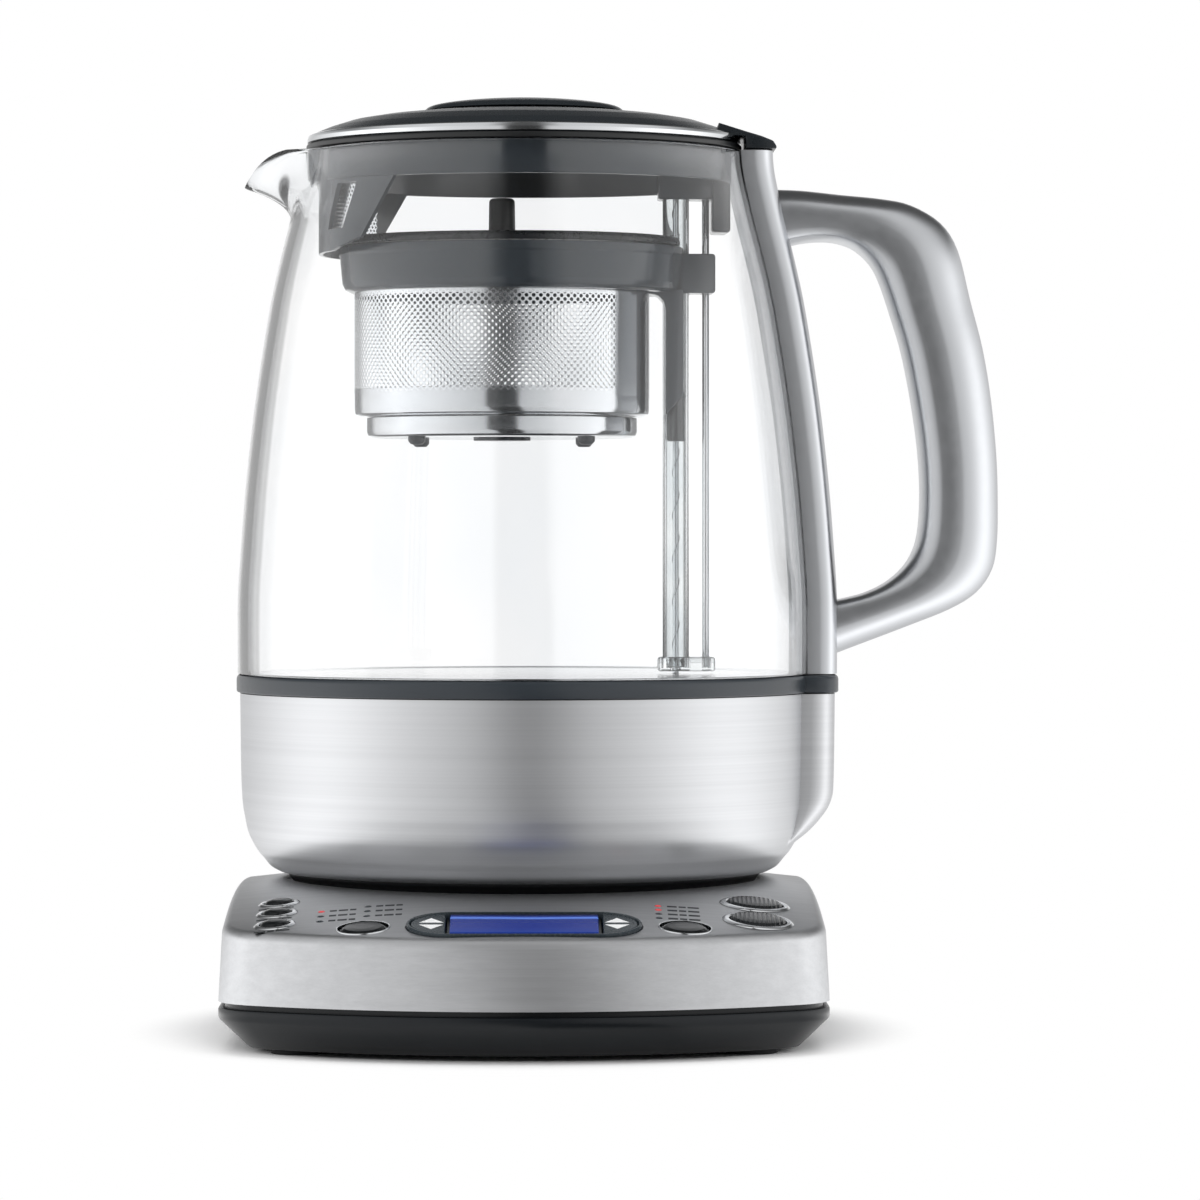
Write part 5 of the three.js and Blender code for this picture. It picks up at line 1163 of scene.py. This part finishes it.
def build_lid():
    turned("lid_gasket_ring", "jug_lid", black_plastic, "lid_gasket",
           sleeve(58.5, 61, 244.8, 246.6), rounding=0.5)
    turned("lid_trim_ring", "jug_lid", polished_steel, "lid_trim",
           [(58.5, 246.9), (60.3, 246.9), (59.95, trim_top), (58.5, trim_top)], rounding=0.2)
    turned("lid_dome", "jug_lid", lid_plastic, "lid_shell",
           [(6.3, 253.9), (27.2, 253.9), (34.8, 253.3), (48.9, 251.3), (52.9, lid_bottom),
            (lid_edge, lid_bottom), (lid_edge, 248.9), (58.3, 249.8), (54.9, 251.2), (48.9, 253.1), (42, 254.3),
            (34.8, 255.1), (27.2, lid_top), (6.3, lid_top)], rounding=0.3)
    turned("lid_band", "jug_lid", polished_steel, None,
           [(60.1, 247.0), (60.8, 247.0), (60.7, 248.1), (60.45, 248.9), (59.8, 249.25), (60.1, 248.4)],
           rounding=0.05)
    # The slope that covers the top of the handle strip
    tongue = side_profile(
        [(54, 248.7), (61.5, 248.4), (61.6, 245.0), (70.2, 245.0), (70.1, 245.7), (69.2, 247.1),
         (66.0, 248.4), (61.3, 249.8), (54, 252.1)], tongue_half_width, 0.35)
    finished("lid_tongue", tongue, "jug_lid", lid_plastic)
    table = smooth_table([(1, 0.06), (0.93, 0.4), (0.72, 0.67), (0.35, 0.91), (0, 1)], 4)
    top = [(knob_radius * radius, knob_bottom + knob_rise * height) for radius, height in table]
    turned("lid_grip", "jug_lid", lid_plastic, "lid_knob",
           [(0, 252), (6, 252), (6, knob_bottom), (knob_radius - 0.3, knob_bottom)] + top,
           slot="black_plastic")

    ring = spun(
        [(56.2, skirt_ring_bottom), (lid_seat, skirt_ring_bottom), (lid_seat, trim_top - 0.1),
         (53.3, trim_top - 0.1), (53.3, 246.0), (56.2, 246.0)], 160, 0.4)
    middle = pi
    window_half = radians(4.8)
    windows = [
        bent_plate(
            54, 60, (filter_bottom + 6, middle + radians(26 * place), window_half),
            (skirt_ring_bottom - 1.1, middle + radians(33.5 * place), window_half), 12)
        for place in (-1, 0, 1)
    ]
    frame_low = (filter_bottom, middle, radians(40))
    frame_high = (skirt_ring_bottom + 2, middle, radians(54))
    plate = bored(bent_plate(56.4, 57.6, frame_low, frame_high, 60, 3.2), *windows)
    tube_hole = upright(tube_radius + 0.3, 225, tube_top + 0.3, 48, tower_x)
    socket = bored(rounded_block((37.5, -5.9, 231.3), (53.4, 5.9, 240.1), 0.6), tube_hole,
                   upright(1.3, 225, 234.5, 24, rod_x))
    rear = rounded_block((52.5, -7.9, 222), (57.5, 7.9, 247), 0.8)
    finished("lid_inner_frame", merged(ring, plate, socket, rear), "jug_lid", basket_plastic, "lid_skirt")

    lattice = pierced_wall(pierced_cell(0.75, 1.05, 0.48, 4), 55.4, 50, 13, 1.05, filter_bottom + 5.6,
                           middle - filter_half_angle, middle + filter_half_angle)
    finished("filter_lattice", lattice, "jug_lid", pierced_steel, "spout_mesh", turn=False)


# Stage, lights and camera


def aimed(thing, place, target):
    """Puts a lamp or the camera in the scene, looking at a point."""
    light = bpy.data.objects.new(thing.name, thing)
    light.location = place
    light.rotation_euler = (Vector(target) - Vector(place)).to_track_quat("-Z", "Y").to_euler()
    bpy.context.scene.collection.objects.link(light)
    return light


def add_lamp(name, place, target, size, power):
    lamp_data = bpy.data.lights.new(name, "AREA")
    lamp_data.shape = "RECTANGLE"
    lamp_data.size, lamp_data.size_y = size
    lamp_data.energy = power
    light = aimed(lamp_data, place, target)
    light.visible_glossy = False
    light.visible_transmission = False


def seen_by(tree):
    """1 for the camera and for rays through glass or off shiny surfaces, and 0 for all others."""
    path = add_node(tree, "LightPath")
    seen = path.outputs["Is Camera Ray"]
    for kind in ("Transmission", "Glossy"):
        seen = add_node(tree, "Math", {0: seen, 1: path.outputs[f"Is {kind} Ray"]}, operation="MAXIMUM")
    return seen


def angle_ramp(tree, share, stops):
    """A grey level that changes with the angle from the camera."""
    return colour_ramp(tree, share, [(angle / 180, bright / screen_strength) for angle, bright in stops])


def studio_light(tree):
    """What the studio shows a shiny surface from each side. Low down it is dark by the camera, with a
    large white screen to the left and right and the white backdrop behind. Above hangs a wide lamp in
    front and a dark room behind. Through the glass, dark flags show beside the backdrop."""
    place = add_node(tree, "TexCoord").outputs["Object"]
    parts = add_node(tree, "SeparateXYZ", {"Vector": place}).outputs
    across = add_node(tree, "Math", {0: parts["X"]}, operation="ABSOLUTE")
    front = add_node(tree, "Math", {0: parts["Y"], 1: -1.0}, operation="MULTIPLY")
    turn = add_node(tree, "Math", {0: across, 1: front}, operation="ARCTAN2")
    share = add_node(tree, "Math", {0: turn, 1: pi}, operation="DIVIDE")
    low = add_node(tree, "Mix", {
        "Factor": add_node(tree, "LightPath").outputs["Is Transmission Ray"],
        6: angle_ramp(tree, share, screen_stops), 7: angle_ramp(tree, share, flag_stops),
    }, data_type="RGBA")
    distance = add_node(tree, "VectorMath", {0: place}, operation="LENGTH").outputs["Value"]
    rise = add_node(tree, "Math", {0: parts["Z"], 1: distance}, operation="DIVIDE")
    above = add_node(
        tree, "MapRange", {"Value": rise, "From Min": screen_top[0], "From Max": screen_top[1]},
        interpolation_type="SMOOTHSTEP")
    brightness = add_node(tree, "Mix", {
        "Factor": above, 6: low.outputs[2], 7: angle_ramp(tree, share, room_stops),
    }, data_type="RGBA")
    return add_node(tree, "Emission", {"Color": brightness.outputs[2], "Strength": screen_strength})


def build_world():
    world = bpy.data.worlds.new("studio")
    bpy.context.scene.world = world
    world.use_nodes = True
    tree = world.node_tree
    tree.nodes.clear()
    dim, white = (
        add_node(tree, "Background", {"Color": (1, 1, 1, 1), "Strength": strength})
        for strength in (world_strength, 1.0)
    )
    mix = add_node(tree, "MixShader", {0: seen_by(tree), 1: dim, 2: white})
    add_node(tree, "OutputWorld", {"Surface": mix})


def staged(name, bm, material_name, surface):
    """A part of the studio with a material of its own, which isn't part of the object."""
    thing = new_object(name, bm)
    material = bpy.data.materials.new(material_name)
    material.use_nodes = True
    tree = material.node_tree
    tree.nodes.clear()
    add_node(tree, "OutputMaterial", {"Surface": surface(tree)})
    thing.data.materials.append(material)
    return thing


def floor_light(tree):
    """Pale near the base, where the floor keeps the shadow, and as white as the backdrop farther out."""
    place = add_node(tree, "TexCoord")
    scaled = add_node(tree, "Mapping", {
        "Vector": place.outputs["Object"], "Location": (-jug_axis.x / shadow_reach[0], 0, 0),
        "Scale": (1 / shadow_reach[0], 1 / shadow_reach[1], 1),
    })
    distance = add_node(tree, "VectorMath", {0: scaled}, operation="LENGTH").outputs["Value"]
    fade = add_node(tree, "MapRange", {"Value": distance, "From Min": 0.76, "From Max": 1.0},
                    interpolation_type="SMOOTHSTEP")
    factor = add_node(tree, "Math", {0: fade, 1: seen_by(tree)}, operation="MULTIPLY")
    matt = add_node(tree, "BsdfDiffuse", {"Color": (0.95, 0.95, 0.95, 1)})
    white = add_node(tree, "Emission", {"Color": (1, 1, 1, 1), "Strength": 1.0})
    glossy = add_node(tree, "LightPath").outputs["Is Glossy Ray"]
    far = add_node(tree, "MixShader", {0: glossy, 1: white, 2: studio_light(tree)})
    return add_node(tree, "MixShader", {0: factor, 1: matt, 2: far})


def build_studio():
    build_world()
    floor = bmesh.new()
    bmesh.ops.create_grid(floor, x_segments=1, y_segments=1, size=6)
    staged("floor", floor, "studio_floor", floor_light)
    # A dome that only reflections and refractions show
    dome = bmesh.new()
    bmesh.ops.create_uvsphere(dome, u_segments=48, v_segments=24, radius=4)
    tent = staged("tent", dome, "studio_screens", studio_light)
    tent.visible_camera = tent.visible_diffuse = tent.visible_shadow = False
    add_lamp("key_left", (-1.1, -0.9, 0.9), (0, 0, 0.12), (0.9, 1.2), 9)
    add_lamp("key_right", (1.2, -0.8, 0.9), (0, 0, 0.12), (0.9, 1.2), 8)
    add_lamp("top", (0, 0.1, 1.5), (0, 0, 0.1), (1.4, 1.2), 12)

    camera = bpy.data.cameras.new("camera")
    camera.lens = camera_lens
    camera.sensor_width = sensor_width
    bpy.context.scene.camera = aimed(
        camera, jug_axis + Vector((0, -camera_distance, camera_height)) / 1000,
        jug_axis + Vector((aim_across, 0, aim_height)) / 1000)
    bpy.context.scene.view_settings.view_transform = "Standard"


build_studio()
build_base()
build_display()
build_keys()
build_lights_and_marks()
build_jug_body()
build_glass()
build_handle()
build_tower()
build_basket()
build_lid()

bpy.context.view_layer.update()
